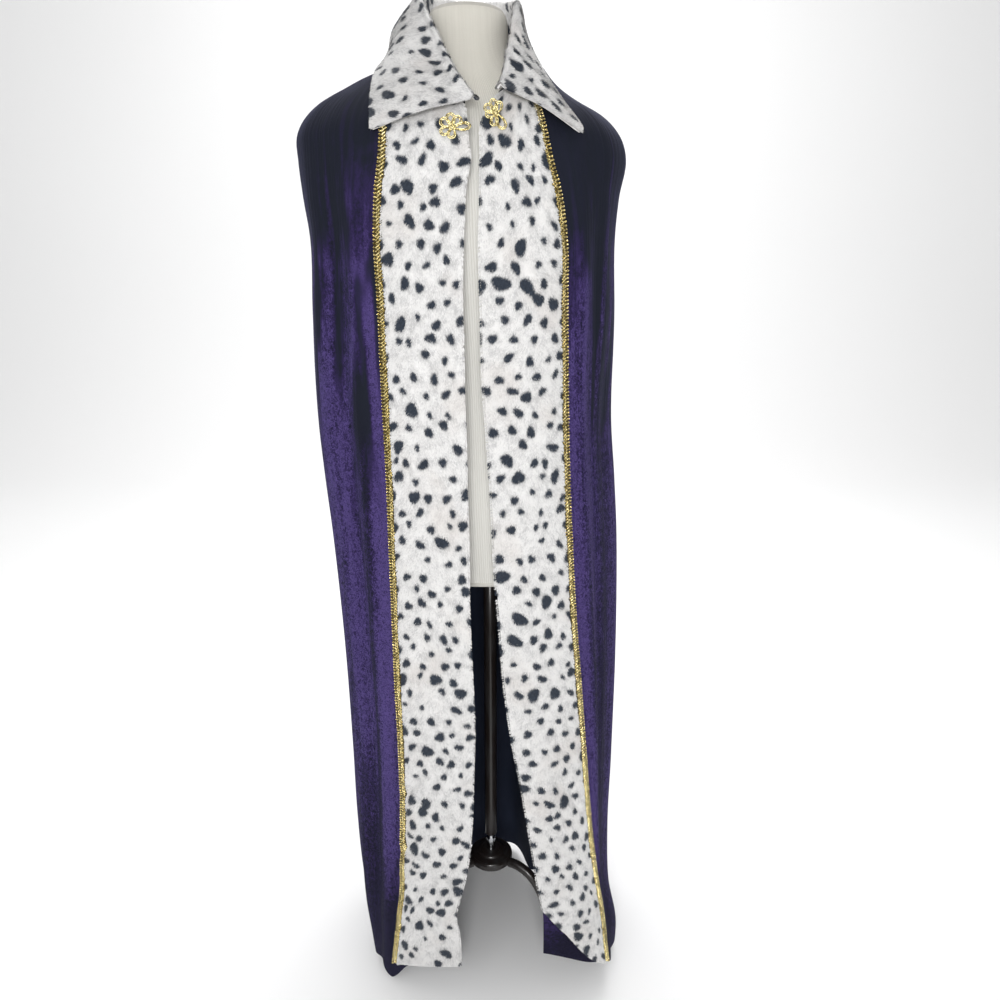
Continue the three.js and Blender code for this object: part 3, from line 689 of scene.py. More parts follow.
def spottedFur():  # colour from the spot mark over a mottled white, each tuft a little lighter or darker, and painted shade towards the roots
    made, tree, shader = newMaterial("spottedFur", {
        "Roughness": 0.9, "Sheen Weight": 0.2, "Sheen Roughness": 0.5, "Specular IOR Level": 0.15,
    })
    mottle = noise(tree, scaled(tree, (75, 62, 1)), 1, 4, 0.65, 0.6)
    tone, tip = markOf(tree, "tone"), markOf(tree, "tip")
    # the tips lighter than the roots: painted shade deep in the pile
    light = plus(tree, times(tree, tone, 0.28), times(tree, tip, 0.2))
    light = plus(tree, light, times(tree, mottle, 0.9))
    white = mixOf(tree, between(tree, light, 0.42, 0.82), fur["shade"], fur["white"])
    warm = noise(tree, scaled(tree, (14, 9, 1)), 1, 2)
    white = mixOf(tree, between(tree, warm, 0.5, 0.72, 0, 0.5), white, (0.66, 0.62, 0.59, 1))
    slate = mixOf(tree, tone, fur["slate"], (0.040, 0.050, 0.068, 1))
    color = mixOf(tree, markOf(tree, "spot"), white, slate)
    paint(tree, shader, color)
    addBump(tree, shader, noise(tree, scaled(tree, (900, 500, 1)), 1, 3), 0.35, 0.0006)
    return made


def furBack():  # the fur cloth's plain knitted back
    made, tree, shader = newMaterial("furBack", {"Roughness": 0.9})
    weave = noise(tree, scaled(tree, (800, 800, 1)), 1, 2)
    paint(tree, shader, mixOf(tree, weave, (0.62, 0.60, 0.57, 1), (0.78, 0.76, 0.73, 1)))
    addBump(tree, shader, weave, 0.4, 0.0004)
    return made


furMaterials = [spottedFur(), furBack()]


def pileOver(name, points, uv, spots, rootHeight, seed, edgeLean):
    # kite-shaped tufts: root on the skin, two sides half way up and a tip, leaning down the nap
    draw = np.random.default_rng(seed)
    count, edgeCount = fur["tufts"], fur["edgeTufts"]
    normals = gridNormals(points)
    down = unit(np.gradient(points, axis=0))
    across = unit(np.gradient(points, axis=1))
    corner = points[:-1, :-1]
    cell = np.linalg.norm(np.cross(points[1:, :-1] - corner, points[:-1, 1:] - corner), axis=-1)
    total = np.cumsum(cell.ravel())
    chosen = np.searchsorted(total, draw.random(count) * total[-1])
    row, column = np.unravel_index(chosen, cell.shape)
    rowShare, columnShare = draw.random(count), draw.random(count)
    rows, columns = points.shape[:2]
    # more tufts along the four edges, leaning out over them
    edge = draw.integers(0, 4, edgeCount)
    place = draw.random(edgeCount)
    alongRow = edge < 2
    edgeRow = np.where(alongRow, np.where(edge == 0, 0, rows - 1.001), place * (rows - 1.001))
    edgeColumn = np.where(alongRow, place * (columns - 1.001), np.where(edge == 2, 0, columns - 1.001))
    row = np.concatenate([row, edgeRow.astype(int)])
    column = np.concatenate([column, edgeColumn.astype(int)])
    rowShare = np.concatenate([rowShare, edgeRow % 1])
    columnShare = np.concatenate([columnShare, edgeColumn % 1])

    def read(values):
        s, t = rowShare[:, None], columnShare[:, None]
        if values.ndim == 2:
            s, t = rowShare, columnShare
        upper = lerp(values[row, column], values[row, column + 1], t)
        lower = lerp(values[row + 1, column], values[row + 1, column + 1], t)
        return lerp(upper, lower, s)

    root, normal, fall, aside, place = read(points), unit(read(normals)), read(down), read(across), read(uv)
    number = len(root)
    swirl = 0.8 * np.sin(place[:, 0] / 17 + seed) + 0.7 * np.sin(place[:, 1] / 23 + place[:, 0] / 31)
    lean = unit(fall + aside * (swirl * 0.55 + draw.normal(0, 0.3, number))[:, None])
    outward = np.zeros((number, 3))
    outward[count:] = np.where(
        (edge < 2)[:, None],
        fall[count:] * np.where(edge == 0, -1, 1)[:, None],
        aside[count:] * np.where(edge == 2, -1, 1)[:, None],
    )
    lean[count:] = lean[count:] * 0.5 + outward[count:] * np.asarray(edgeLean)[edge][:, None]
    direction = unit(lean + normal * draw.uniform(0.28, 0.55, number)[:, None])
    length = fur["pile"] * draw.uniform(0.8, 1.25, number)[:, None]
    width = fur["tuftWidth"] * draw.uniform(0.75, 1.3, number)[:, None]
    side = unit(np.cross(direction, normal) + normal * draw.normal(0, 0.22, number)[:, None])
    root = root + normal * rootHeight
    waist = root + direction * length * 0.5
    tip = waist + unit(direction + lean * 0.3) * length * 0.5
    kites = np.stack([root, waist + side * width / 2, tip, waist - side * width / 2], 1)
    # a tuft carries its root's colour a little way down the nap, so that the spots have soft edges
    downward = np.sign(np.mean(np.gradient(uv[..., 1], axis=0)))
    reach = (kites - root[:, None]) * 0.62
    atX = place[:, :1] + np.sum(reach * aside[:, None], -1) + draw.normal(0, 0.3, (number, 1))
    atY = place[:, 1:] + np.sum(reach * fall[:, None], -1) * downward + draw.normal(0, 0.3, (number, 1))
    marks = {
        "spot": spotAmount(atX, atY, spots).ravel(),
        "tone": np.repeat(draw.random(number), 4),
        # tip: painted shade, darkest at the root and lightest at the tip
        "tip": np.tile([0.0, 0.6, 1.0, 0.6], number),
    }
    faces = np.arange(number * 4).reshape(-1, 4)
    soft = unit(normal + 0.22 * direction + 0.1 * draw.normal(0, 1, (number, 3)))
    shading = np.repeat(soft, 4, axis=0)
    places = np.repeat(place, 4, axis=0)
    return makePiece(name, kites.reshape(-1, 3), faces, [furMaterials[0]], places, marks, normals=shading)


def furPiece(name, points, uv, inside, seed, edgeLean, *nodes):  # the fur cloth and its pile
    spots = spotChart(np.ptp(uv[..., 0]) + 40, uv[..., 1].max() + 60, seed)
    spots[:, 0] += uv[..., 0].min()
    draw = np.random.default_rng(seed + 50)
    marks = {
        "spot": spotAmount(uv[..., 0], uv[..., 1], spots),
        "tone": draw.random(uv.shape[:2]) * 0.5 + 0.2,
        # the cloth under the pile kept darker than the tufts' tips: painted shade
        "tip": np.full(uv.shape[:2], 0.3),
    }
    cloth = wall(name, points, inside, inside + fur["base"], furMaterials, uv, marks)
    standsFor(cloth, "fur", *nodes)
    pile = pileOver("pile_" + name, points, uv, spots, inside + fur["rootDepth"], seed + 90, edgeLean)
    standsFor(pile, "fur")
    return cloth, pile


band = {"width": 113, "columns": 40, "rows": 300, "lift": 1.9}
braid = {
    "width": 13, "lift": 1.9, "pitch": 9.6, "wire": 1.0, "steps": 12, "sides": 4, "base": 0.9,
    "threads": [  # how far each thread swings from the middle, and where in the turn it starts
        {"reach": 4.7, "phase": 0.0}, {"reach": 4.7, "phase": 3.14},
    ],
    "gold": (0.95, 0.83, 0.45, 1), "olive": (0.30, 0.235, 0.085, 1), "darkGoldAndShade": (0.022, 0.016, 0.006, 1),
    "tape": (0.10, 0.075, 0.024, 1),
}
furShare = (braid["width"] + velvet["seamGap"] * 3) / band["width"]
braidShare = braid["width"] / band["width"]
bandTop = (1 / 22) ** 1.45
bandShares = lerp(bandTop, 1, np.linspace(0, 1, band["rows"]) ** 1.15)
for side, edge, braidLine in (("left", 0, 1), ("right", 6, 5)):
    inward = 1 if edge > braidLine else -1
    stations = np.sort(np.linspace(edge, braidLine + inward * furShare, band["columns"]))
    points, uv = robeSurface(stations, bandShares)
    # how far the tufts lean out at the top, the hem, the first and the last column
    edgeLean = (0.8, 0.8, 0.8, 0.1) if side == "left" else (0.8, 0.8, 0.1, 0.8)
    furPiece("band_" + side, points, uv, band["lift"], 7 + edge, edgeLean, "band_" + side)


# collar

collarLine = table(
    ["place", "station", "rollX", "rollY", "rollZ", "edgeX", "edgeY", "edgeZ", "bulge"],
    [
        [0, 0.02, -18, -135, 1432, -147, -144, 1391, 15],
        [1, 0.2, -33, -124, 1452, -149, -128, 1409, 17],
        [2, 0.4, -46, -110, 1472, -151, -106, 1438, 17],
        [3, 0.7, -63, -86, 1506, -150, -66, 1475, 12],
        [4, 1.1, -83, -53, 1550, -144, -20, 1498, 14],
        [5, 1.8, -96, -12, 1586, -138, 32, 1500, 15],
        [6, 2.4, -80, 46, 1595, -94, 80, 1492, 10],
        [7, 3, -22, 72, 1597, -18, 97, 1484, 7],
        [8, 3.6, 27, 50, 1591, 45, 71, 1493, 5],
        [9, 4.2, 40, 6, 1579, 60, 18, 1514, 2],
        [10, 4.8, 40, -32, 1565, 61, -24, 1511, 0],
        [11, 5.2, 36, -61, 1532, 77, -66, 1474, 0],
        [12, 5.5, 30, -88, 1494, 96, -101, 1438, 6],
        [13, 5.75, 24, -113, 1463, 119, -123, 1403, 11],
        [14, 5.98, 18, -131, 1446, 121, -135, 1389, 11],
    ],
)
collar = {
    "lastPlace": 14, "rollHalf": 5, "solidHalf": 2.5, "columns": 170, "rows": 80,
    # creases on the fall: place along (0 to 14), share down, lean, half length, half width, depth
    "creases": named(
        ["along", "down", "lean", "long", "wide", "deep"],
        [
            [2.6, 0.66, 62, 42, 7, -2.2], [1.4, 0.72, 40, 34, 8, -1.6], [3.6, 0.62, 78, 30, 6, -1.8],
            [11.3, 0.62, 12, 46, 6, -2.4], [12.1, 0.7, 16, 52, 7, 2], [12.8, 0.78, 20, 40, 6, -2],
            [6.2, 0.7, 6, 40, 9, -1.8], [7.9, 0.72, -6, 42, 9, -1.6],
        ],
    ),
}


def collarSurface(alongCount, downCount):  # up from the neckline, over the roll line and down to the edge
    line = collarLine(np.linspace(0, 1, alongCount) * collar["lastPlace"])
    seam = robePoint(line["station"], neckline(line["station"])["z"])
    roll = np.stack([line["rollX"], line["rollY"], line["rollZ"]], -1)
    edge = np.stack([line["edgeX"], line["edgeY"], line["edgeZ"]], -1)
    away = unit(np.stack([roll[:, 0] - centreX(roll[:, 2]), roll[:, 1], np.zeros(alongCount)], -1))
    fall = unit((edge - roll) * [1, 1, 0])
    seam = seam + away * velvet["thick"] / 2
    seam[:, 2] += collar["solidHalf"] + velvet["seamGap"]
    turn = np.minimum(collar["rollHalf"], np.linalg.norm(seam - roll, axis=-1) / 2)[:, None]
    up = np.array([0, 0, 1.0])
    knots = np.stack([
        seam, roll - fall * turn - up * turn, roll, roll + fall * turn - up * turn * 0.8,
        (roll + edge) / 2 + away * line["bulge"][:, None], edge,
    ])
    return throughPoints(knots, np.linspace(0, 1, downCount))


points = collarSurface(collar["columns"], collar["rows"])
stepDown = np.linalg.norm(np.diff(points, axis=0), axis=-1)
stepAcross = np.linalg.norm(np.diff(points[int(collar["rows"] * 0.75)], axis=0), axis=-1)
downLength = np.concatenate([np.zeros((1, collar["columns"])), np.cumsum(stepDown, 0)])
acrossLength = np.concatenate([[0], np.cumsum(stepAcross)])
uv = np.stack([np.broadcast_to(acrossLength, downLength.shape), downLength], -1)
depth = np.zeros(downLength.shape)
for crease in collar["creases"]:
    lean = math.radians(crease["lean"])
    column = int(crease["along"] / collar["lastPlace"] * (collar["columns"] - 1))
    dx = uv[..., 0] - acrossLength[column]
    dy = uv[..., 1] - downLength[int(crease["down"] * (collar["rows"] - 1)), column]
    aside = dx * math.cos(lean) - dy * math.sin(lean)
    along = dx * math.sin(lean) + dy * math.cos(lean)
    depth += crease["deep"] * np.exp(-(aside / crease["wide"]) ** 2 - (along / crease["long"]) ** 4)
points = points + gridNormals(points) * depth[..., None]
collarInside = -collar["solidHalf"]
collarCloth, collarPile = furPiece("collar", points, uv, collarInside, 31, (0.8, 0.9, 0.8, 0.8), "collar")


# gold braid and clasps

def goldThread():  # fine metal thread: twisted ridges, and olive patches that are partly tarnish and partly painted dark reflection
    made, tree, shader = newMaterial("goldThread", {"Metallic": 1.0, "Roughness": 0.26})
    grain = noise(tree, scaled(tree, (1100, 1100, 1100), "Object"), 1, 2)
    tarnishAndDarkReflection = noise(tree, scaled(tree, (330, 330, 330), "Object"), 1, 2)
    # olive patches: partly tarnish, partly painted dark reflection
    paint(tree, shader, mixOf(tree, between(tree, tarnishAndDarkReflection, 0.38, 0.55), braid["olive"], braid["gold"]))
    addBump(tree, shader, grain, 0.9, 0.0006)
    return made


def goldTape():  # the braid's flat ground, woven of duller thread and coloured very dark, partly as painted shade between the threads
    made, tree, shader = newMaterial("goldTape", {"Roughness": 0.85, "Specular IOR Level": 0.2})
    weave = weaveOf(tree, 260.0, 1.5)
    paint(tree, shader, mixOf(tree, weave, braid["darkGoldAndShade"], braid["tape"]))
    addBump(tree, shader, weave, 0.6, 0.0005)
    return made


goldMaterials = [goldThread(), goldTape()]


def readAlong(place, length, values):  # values of a row of points, read at places along it
    return np.stack([np.interp(place, length, values[:, k]) for k in range(3)], -1)


def braidPiece(side, braidLine, inward):
    # a tape with threads over it, each path: across = reach sin(turn), along = place + sin(2 turn), crossing
    fromStation, toStation = sorted((braidLine, braidLine + inward * braidShare))
    stations = np.linspace(fromStation, toStation, 5)
    shares = lerp(bandTop, 1, np.linspace(0, 1, 260))
    points, uv = robeSurface(stations, shares)
    middle = points[:, 2]
    normals = gridNormals(points)[:, 2]
    aside = unit(points[:, 4] - points[:, 0])
    length = np.concatenate([[0], np.cumsum(np.linalg.norm(np.diff(middle, axis=0), axis=-1))])
    count = int(length[-1] / braid["pitch"]) * braid["steps"]
    place = np.linspace(0, length[-1], count)
    turn = np.arange(count) / braid["steps"] * 2 * np.pi
    threads = []
    draw = np.random.default_rng(3 if side == "left" else 4)
    shake = 1 + 0.12 * np.interp(place, np.linspace(0, length[-1], 90), draw.normal(0, 1, 90))
    for thread in braid["threads"]:
        phase = thread["phase"]
        at = np.clip(place + 1.5 * np.sin(2 * turn), 0, length[-1])
        path = readAlong(at, length, middle)
        normal = readAlong(at, length, normals)
        across = readAlong(at, length, aside)
        high = braid["lift"] + 1.6 + 0.5 * np.cos(turn + phase)
        swing = thread["reach"] * shake * np.sin(turn + phase)
        path = path + across * swing[:, None] + normal * high[:, None]
        threads.append(tubes(path[None], normal[None], braid["wire"], braid["sides"]))
    beadCount = int(length[-1] / 4.8)  # small picots along the edge next to the velvet
    beadAt = (np.arange(beadCount) + 0.5) * length[-1] / beadCount
    centre = readAlong(beadAt, length, middle)
    normal = readAlong(beadAt, length, normals)
    across = readAlong(beadAt, length, aside) * -inward
    downward = np.cross(across, normal)
    bend = np.arange(6) / 6 * 2 * np.pi
    loops = (
        (centre + across * 5.9 + normal * (braid["lift"] + 1.4))[:, None]
        + across[:, None] * 1.0 * np.cos(bend)[:, None] + downward[:, None] * 1.3 * np.sin(bend)[:, None]
    )
    picots = tubes(loops, np.repeat(normal[:, None], 6, 1), 0.8, 4, closed=True)
    wirePoints, wireFaces = joinParts([*threads, picots])
    wires = makePiece("braid_" + side, wirePoints, wireFaces, [goldMaterials[0]], sharp=80)
    standsFor(wires, "gold", "braid_" + side)
    low, high = braid["lift"], braid["lift"] + braid["base"]
    tape = wall("braidTape_" + side, points, low, high, [goldMaterials[1]] * 2, uv)
    standsFor(tape, "gold")
    return wires, tape


braidPieces = {
    "left": braidPiece("left", 1, -1),
    "right": braidPiece("right", 5, 1),
}

frogs = {
    "left": {
        "at": [-44, -152, 1391],
        "petals": named(
            ["angle", "length", "width"],
            [[100, 17, 6], [52, 16, 6], [148, 17, 6], [205, 16, 5.5], [265, 13, 5.5], [5, 23, 5]],
        ),
    },
    "right": {
        "at": [12, -146, 1408],
        "petals": named(
            ["angle", "length", "width"],
            [[145, 17, 5.5], [105, 18, 5], [70, 15, 5], [185, 13, 5], [300, 21, 6], [255, 15, 5]],
        ),
    },
    "lean": -0.2,
    "outerWire": 0.95,
    "innerWire": 0.75,
    "innerShare": 0.76,
    "narrower": 9,
    "ring": 2.9,
    "ringWire": 1.05,
    "ball": 2.8,
}
petalShape = np.array([
    [0.06, 0.25], [0.5, 0.85], [0.88, 0.7], [1, 0], [0.88, -0.7], [0.5, -0.85], [0.06, -0.25],
])


def frogPiece(side):  # each petal is a loop of two wires, and the knot is a ball wound with three rings
    parts = []
    for petal in frogs[side]["petals"]:
        angle = math.radians(petal["angle"])
        for share, wire in ((1.0, frogs["outerWire"]), (frogs["innerShare"], frogs["innerWire"])):
            along = petalShape[:, 0] * (petal["length"] + 0.6 - (1 - share) * frogs["narrower"])
            aside = petalShape[:, 1] * (petal["width"] + 0.5 - (1 - share) * frogs["narrower"])
            knots = np.stack([
                along * math.cos(angle) - aside * math.sin(angle), np.zeros(7),
                along * math.sin(angle) + aside * math.cos(angle),
            ], -1)
            path = throughPoints(knots, np.linspace(0, 1, 40))
            parts.append(tubes(path[None], np.array([[[0, -1.0, 0]]]), wire, 8))
    turn = np.arange(28) / 28 * 2 * np.pi
    for tilt in (0, 60, 120):
        t = math.radians(tilt)
        flat = np.cos(turn)
        ring = frogs["ring"] * np.stack([flat * math.cos(t), np.sin(turn), flat * math.sin(t)], -1)
        parts.append(tubes(ring[None], unit(ring)[None], frogs["ringWire"], 7, closed=True))
    angle = np.linspace(-np.pi / 2, np.pi / 2, 9)
    parts.append(lathe(frogs["ball"] * np.stack([np.cos(angle), np.sin(angle)], -1), 14))
    points, faces = joinParts(parts)
    lean = frogs["lean"]
    y = points[:, 1] * math.cos(lean) - points[:, 2] * math.sin(lean)
    z = points[:, 1] * math.sin(lean) + points[:, 2] * math.cos(lean)
    points = np.stack([points[:, 0], y, z], -1) + frogs[side]["at"]
    piece = makePiece("frog_" + side, points, faces, [goldMaterials[0]], sharp=80)
    return standsFor(piece, "gold", "frog_" + side)


frogPieces = {side: frogPiece(side) for side in ("left", "right")}


# dress form

form = table(
    ["z", "half", "front", "back", "square"],
    [
        [747, 150, 102, 98, 2.25], [850, 158, 112, 108, 2.25], [960, 150, 108, 104, 2.25],
        [1060, 146, 108, 104, 2.25], [1160, 160, 120, 110, 2.25], [1260, 176, 130, 116, 2.25],
        [1330, 188, 128, 116, 2.2], [1382, 198.3, 114, 106, 2.15], [1410, 197.6, 98, 94, 2.1],
        [1428, 180.5, 85, 83, 2.05], [1442, 157.6, 75, 75, 2], [1455, 134.5, 68, 70, 2],
        [1468, 109, 62, 65, 2], [1482, 82, 58, 61, 2], [1494, 67, 56, 58, 2],
        [1512, 58, 55, 56, 2], [1556, 55, 55, 55, 2], [1563, 51, 51, 51, 2],
    ],
)
dressForm = {
    "bottom": 747, "top": 1563, "rings": 170, "sides": 160, "inset": 0.4,
    "cream": (0.92, 0.905, 0.85, 1), "creamShade": (0.76, 0.735, 0.67, 1),
    # the neck's colours, darker than the body's: painted shade
    "neck": (0.58, 0.555, 0.49, 1), "neckShade": (0.43, 0.41, 0.36, 1),
    "plateThick": 7, "seamGap": 0.3,
}


def formRings(heights, sides, inset):  # a superellipse at each height, round the leaning centre line
    shape = form(heights)
    angle = np.arange(sides) / sides * 2 * np.pi
    across, along = np.cos(angle), np.sin(angle)
    power = (2 / shape["square"])[:, None]
    half = shape["half"][:, None] - inset
    depth = np.where(along < 0, shape["front"][:, None], shape["back"][:, None]) - inset
    x = centreX(heights)[:, None] + np.sign(across) * half * np.abs(across) ** power
    y = np.sign(along) * depth * np.abs(along) ** power
    return np.stack([x, y, np.broadcast_to(heights[:, None], x.shape)], -1)


def ribbedKnit():  # upright ribs about 3 mm apart with small stitches
    made, tree, shader = newMaterial("ribbedKnit", {
        "Roughness": 0.85, "Sheen Weight": 0.15, "Specular IOR Level": 0.25,
    })
    place = scaled(tree, (1, 1, 1))
    wobble = noise(tree, scaled(tree, (60, 9, 1)), 1, 2)
    parts = addNode(tree, "ShaderNodeSeparateXYZ", {"Vector": place})
    across = plus(tree, parts.outputs["X"], times(tree, wobble, 0.0016))
    rib = mathOf(tree, "ABSOLUTE", mathOf(tree, "SINE", times(tree, across, math.pi / 0.0032)))
    row = mathOf(tree, "SINE", times(tree, parts.outputs["Y"], math.pi * 2 / 0.0021))
    stitches = plus(tree, rib, times(tree, row, 0.12))
    streak = noise(tree, scaled(tree, (160, 3, 1)), 1, 3)
    # darker between the ribs: painted shade; the streaks are uneven tone
    shade = plus(tree, times(tree, rib, 0.55), times(tree, streak, 0.6))
    shade = between(tree, shade, 0.15, 0.75)
    color = mixOf(tree, shade, dressForm["creamShade"], dressForm["cream"])
    # painted shade: the neck darker than the knit below it
    neck = between(tree, parts.outputs["Y"], 1.36, 1.47, 0, 0.8)
    color = mixOf(tree, neck, color, mixOf(tree, shade, dressForm["neckShade"], dressForm["neck"]))
    paint(tree, shader, color)
    addBump(tree, shader, stitches, 0.55, 0.0007)
    return made


def rimTape():  # the darker tape round the neck's top
    made, tree, shader = newMaterial("rimTape", {"Roughness": 0.8})
    weave = weaveOf(tree, 420.0, 0.6)
    paint(tree, shader, mixOf(tree, weave, (0.42, 0.40, 0.36, 1), (0.60, 0.58, 0.53, 1)))
    addBump(tree, shader, weave, 0.5, 0.0005)
    return made


heights = lerp(dressForm["bottom"] + 0.2, dressForm["top"] - 0.6, np.linspace(0, 1, dressForm["rings"]))
rings = formRings(heights, dressForm["sides"], dressForm["inset"])
middleLow = rings[:1].mean(1, keepdims=True)
middleHigh = rings[-1:].mean(1, keepdims=True)
rings = np.concatenate([
    lerp(middleLow, rings[:1], 0.985), rings, lerp(middleHigh, rings[-1:], 0.97) + [0, 0, 0.5],
    lerp(middleHigh, rings[-1:], 0.5) + [0, 0, 0.6],
])
stepRound = np.linalg.norm(np.diff(np.concatenate([rings[60], rings[60][:1]]), axis=0), axis=-1)
roundLength = np.concatenate([[0], np.cumsum(stepRound)])[:-1]
uv = np.stack([np.broadcast_to(roundLength, rings.shape[:2]), rings[..., 2]], -1).reshape(-1, 2)
count, sides = rings.shape[:2]
quads = gridQuads(count, sides, wrap=True)
caps = [np.arange(sides)[::-1][None], ((count - 1) * sides + np.arange(sides))[None]]
ringOf = np.repeat(np.arange(count - 1), sides)
faceSlots = np.concatenate([np.where(ringOf >= count - 4, 1, 0), [0, 1]])
formMaterials = [ribbedKnit(), rimTape()]
torso = makePiece(
    "form_torso", rings.reshape(-1, 3), [quads, *caps], formMaterials, uv, faceSlots=faceSlots, sharp=60,
)
standsFor(torso, "knit", "torso")


# base plate and stand

stand = {
    "poleRadius": 11, "rodRadius": 8.5, "tubeBottom": 201, "hubTop": 168, "hubRadius": 40, "seamGap": 0.3,
    "footReach": 138, "legRadius": 8.5,
    "black": (0.016, 0.012, 0.011, 1), "worn": (0.024, 0.022, 0.022, 1),
    "steel": (0.62, 0.63, 0.65, 1), "steelLine": (0.50, 0.51, 0.53, 1),
    "plate": (0.78, 0.76, 0.70, 1), "plateShade": (0.70, 0.68, 0.62, 1),
    "rubber": (0.012, 0.012, 0.013, 1), "rubberWorn": (0.030, 0.030, 0.032, 1),
}


def glossBlack():  # painted tube: a clear gloss over black, with faint scuffs
    made, tree, shader = newMaterial("glossBlack", {"Coat Weight": 0.2, "Coat Roughness": 0.2})
    scuff = noise(tree, scaled(tree, (70, 70, 14), "Object"), 1, 4, 0.6)
    tree.links.new(between(tree, scuff, 0.4, 0.75, 0.28, 0.44), shader.inputs["Roughness"])
    worn = between(tree, scuff, 0.45, 0.7)
    paint(tree, shader, mixOf(tree, worn, stand["black"], stand["worn"]))
    addBump(tree, shader, noise(tree, scaled(tree, (260, 260, 260), "Object"), 1, 2), 0.06, 0.0003)
    return made


def polishedSteel():  # a drawn rod: fine lines round it
    made, tree, shader = newMaterial("polishedSteel", {"Metallic": 1.0})
    lines = noise(tree, scaled(tree, (20, 20, 1600), "Object"), 1, 2)
    paint(tree, shader, mixOf(tree, lines, stand["steelLine"], stand["steel"]))
    tree.links.new(between(tree, lines, 0.3, 0.7, 0.12, 0.24), shader.inputs["Roughness"])
    return made


def grained(name, roughness, scale, low, high, strength):  # moulded and lightly grained
    made, tree, shader = newMaterial(name, {"Roughness": roughness})
    grain = noise(tree, scaled(tree, (scale, scale, scale), "Object"), 1, 3)
    paint(tree, shader, mixOf(tree, grain, low, high))
    addBump(tree, shader, grain, strength, 0.0003)
    return made


blackPaint, steelPaint = glossBlack(), polishedSteel()
platePaint = grained("mattPlate", 0.6, 420, stand["plateShade"], stand["plate"], 0.25)
rubberPaint = grained("softRubber", 0.7, 500, stand["rubber"], stand["rubberWorn"], 0.3)
plateTop = dressForm["bottom"] - dressForm["seamGap"]
plateBottom = plateTop - dressForm["plateThick"]
plateSections = [
    [plateBottom, 4], [plateBottom + 0.4, 2.6], [plateBottom + 1.2, 2], [plateTop - 0.8, 2], [plateTop, 2.8],
]
plateRings = []
plateSides = dressForm["sides"]
for height, inset in plateSections:
    ring = formRings(np.array([float(dressForm["bottom"])]), plateSides, inset)[0]
    ring[:, 2] = height
    plateRings.append(ring)
plateRings = np.array(plateRings)
plateFaces = [
    gridQuads(len(plateSections), plateSides, wrap=True), np.arange(plateSides)[::-1][None],
    ((len(plateSections) - 1) * plateSides + np.arange(plateSides))[None],
]
plate = makePiece("form_plate", plateRings.reshape(-1, 3), plateFaces, [platePaint])
standsFor(plate, "plate", "base_plate")

r, low, high = stand["poleRadius"], stand["tubeBottom"], plateBottom - stand["seamGap"]
tubeProfile = [
    [0, low], [r - 1.4, low], [r - 0.5, low + 0.4], [r, low + 1.4], [r, low + 60], [r, low + 180],
    [r, low + 360], [r, high - 1], [r - 1, high], [0, high],
]
pole = makePiece("stand_pole", *lathe(tubeProfile, 72), [blackPaint], sharp=50)
standsFor(pole, "black", "pole")
r, low, high = stand["rodRadius"], stand["hubTop"] + stand["seamGap"], stand["tubeBottom"] - stand["seamGap"]
rodProfile = [[0, low], [r, low], [r, low + 12], [r, high - 10], [r, high - 0.6], [r - 0.6, high], [0, high]]
rod = makePiece("stand_rod", *lathe(rodProfile, 64), [steelPaint], sharp=50)
standsFor(rod, "steel", "rod")
hubProfile = [
    [0, 142], [28, 142], [36.5, 143.8], [39.4, 147], [40, 150], [40, 156], [39.5, 158.4], [37.6, 160.4],
    [36.6, 160.8], [35.8, 160.2], [34.6, 160.6], [28, 162.4], [26.2, 162.8], [25.4, 164.4], [24.6, 165.9],
    [22, 167.2], [18.4, 167.5], [17.8, 166.9], [16.6, 167.2], [13, 168], [0, 168],
]
hub = makePiece("stand_hub", *lathe(hubProfile, 96), [blackPaint], sharp=40)
standsFor(hub, "black", "hub")

legKnots = np.array([
    [0, -stand["hubRadius"] - stand["seamGap"], 151], [0, -58, 151], [0, -82, 142], [0, -104, 118],
    [0, -124, 62], [0, -stand["footReach"], 6],
], float)
footProfile = [
    [0, 0], [12.6, 0], [13.6, 0.5], [14, 1.4], [13.8, 2.6], [13.2, 3.1], [13.2, 3.8], [13.4, 4.6],
    [12.8, 5.1], [12.8, 5.8], [12.6, 7.4], [11.6, 9.2], [10.4, 9.9], [0, 10],
]
for name, degrees in (("leg_front_left", -60), ("leg_front_right", 60), ("leg_back", 180)):
    path = throughPoints(legKnots, np.linspace(0, 1, 60))[None]
    bar, barFaces = tubes(path, np.array([[[1.0, 0, 0]]]), stand["legRadius"], 28)
    bar[:, 2] = np.maximum(bar[:, 2], 1)
    foot, footFaces = lathe(footProfile, 48)
    foot = foot + [0, -stand["footReach"], 0]
    points, faces = joinParts([(bar, barFaces), (foot, footFaces)])
    turn = math.radians(degrees)
    x = points[:, 0] * math.cos(turn) - points[:, 1] * math.sin(turn)
    y = points[:, 0] * math.sin(turn) + points[:, 1] * math.cos(turn)
    sizes = [len(part) for part in faces]
    faceSlots = np.repeat([0] * len(barFaces) + [1] * len(footFaces), sizes)
    points = np.stack([x, y, points[:, 2]], -1)
    leg = makePiece("stand_" + name, points, faces, [blackPaint, rubberPaint], faceSlots=faceSlots)
    standsFor(leg, "black", name)


# floor, light and camera

room = {"half": 7.0, "behind": 3.2, "bend": 1.6, "wall": 5.0, "pale": (0.95, 0.95, 0.95, 1)}


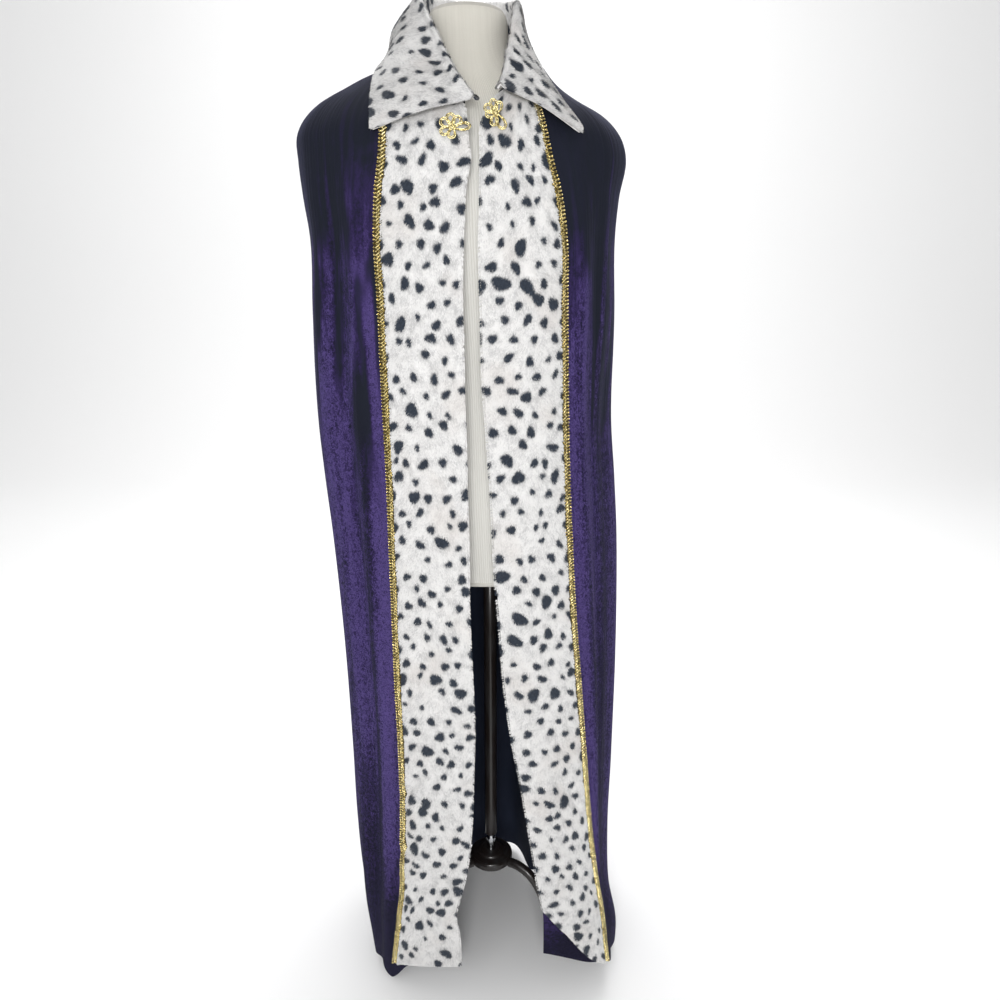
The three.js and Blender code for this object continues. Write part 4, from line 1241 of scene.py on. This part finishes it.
def sweptFloor():  # a flat floor that bends up into a wall behind
    bend = np.linspace(0, np.pi / 2, 24)
    wallY = room["behind"] + room["bend"]
    y = np.concatenate([[-room["half"]], room["behind"] + room["bend"] * np.sin(bend), [wallY]])
    z = np.concatenate([[0], room["bend"] * (1 - np.cos(bend)), [room["wall"]]])
    x = np.linspace(-room["half"], room["half"], 9)[:, None]
    points = np.stack(np.broadcast_arrays(x, y, z), -1)
    made, tree, shader = newMaterial("paleFloor", {"Roughness": 0.9, "Specular IOR Level": 0.1})
    soft = noise(tree, scaled(tree, (0.6, 0.6, 0.6), "Object"), 1, 2)
    paint(tree, shader, mixOf(tree, soft, (0.93, 0.93, 0.93, 1), room["pale"]))
    points = (points.reshape(-1, 3) - polePlace) / mm
    floor = makePiece("floor", points, gridQuads(9, len(y))[:, ::-1], [made])


def addLight(name, place, target, size, watts):
    light = bpy.data.lights.new(name, "AREA")
    light.size, light.energy = size, watts
    lamp = bpy.data.objects.new(name, light)
    bpy.context.scene.collection.objects.link(lamp)
    lamp.location = place
    lamp.rotation_euler = (Vector(target) - Vector(place)).to_track_quat("-Z", "Y").to_euler()


sweptFloor()
robeMiddle = (polePlace[0], polePlace[1], 0.95)
addLight("keyLight", (-1.2, -2.6, 2.5), robeMiddle, 1.4, 13)
addLight("fillLight", (2.3, -1.9, 1.7), robeMiddle, 2.0, 3)
addLight("frontLight", (0.0, -1.9, 1.3), robeMiddle, 0.5, 20)
addLight("backLight", (0.8, 2.2, 2.8), robeMiddle, 1.8, 12)
addLight("wallLight", (0.0, 1.6, 3.6), (0.0, 3.6, 0.4), 3.0, 90)
world = bpy.data.worlds.new("studio")
world.use_nodes = True
world.node_tree.nodes["Background"].inputs["Color"].default_value = (1, 1, 1, 1)
world.node_tree.nodes["Background"].inputs["Strength"].default_value = 0.58
bpy.context.scene.world = world
bpy.context.scene.view_settings.view_transform = "Standard"

view = {"offset": (0.017, -1.225, 1.205), "down": 16, "lens": 27.72, "sensor": 36}
camera = bpy.data.cameras.new("camera")
camera.lens, camera.sensor_width = view["lens"], view["sensor"]
camera.clip_start = 0.05
cameraObject = bpy.data.objects.new("camera", camera)
bpy.context.scene.collection.objects.link(cameraObject)
cameraObject.location = polePlace + view["offset"]
cameraObject.rotation_euler = (math.radians(90 - view["down"]), 0, 0)
bpy.context.scene.camera = cameraObject
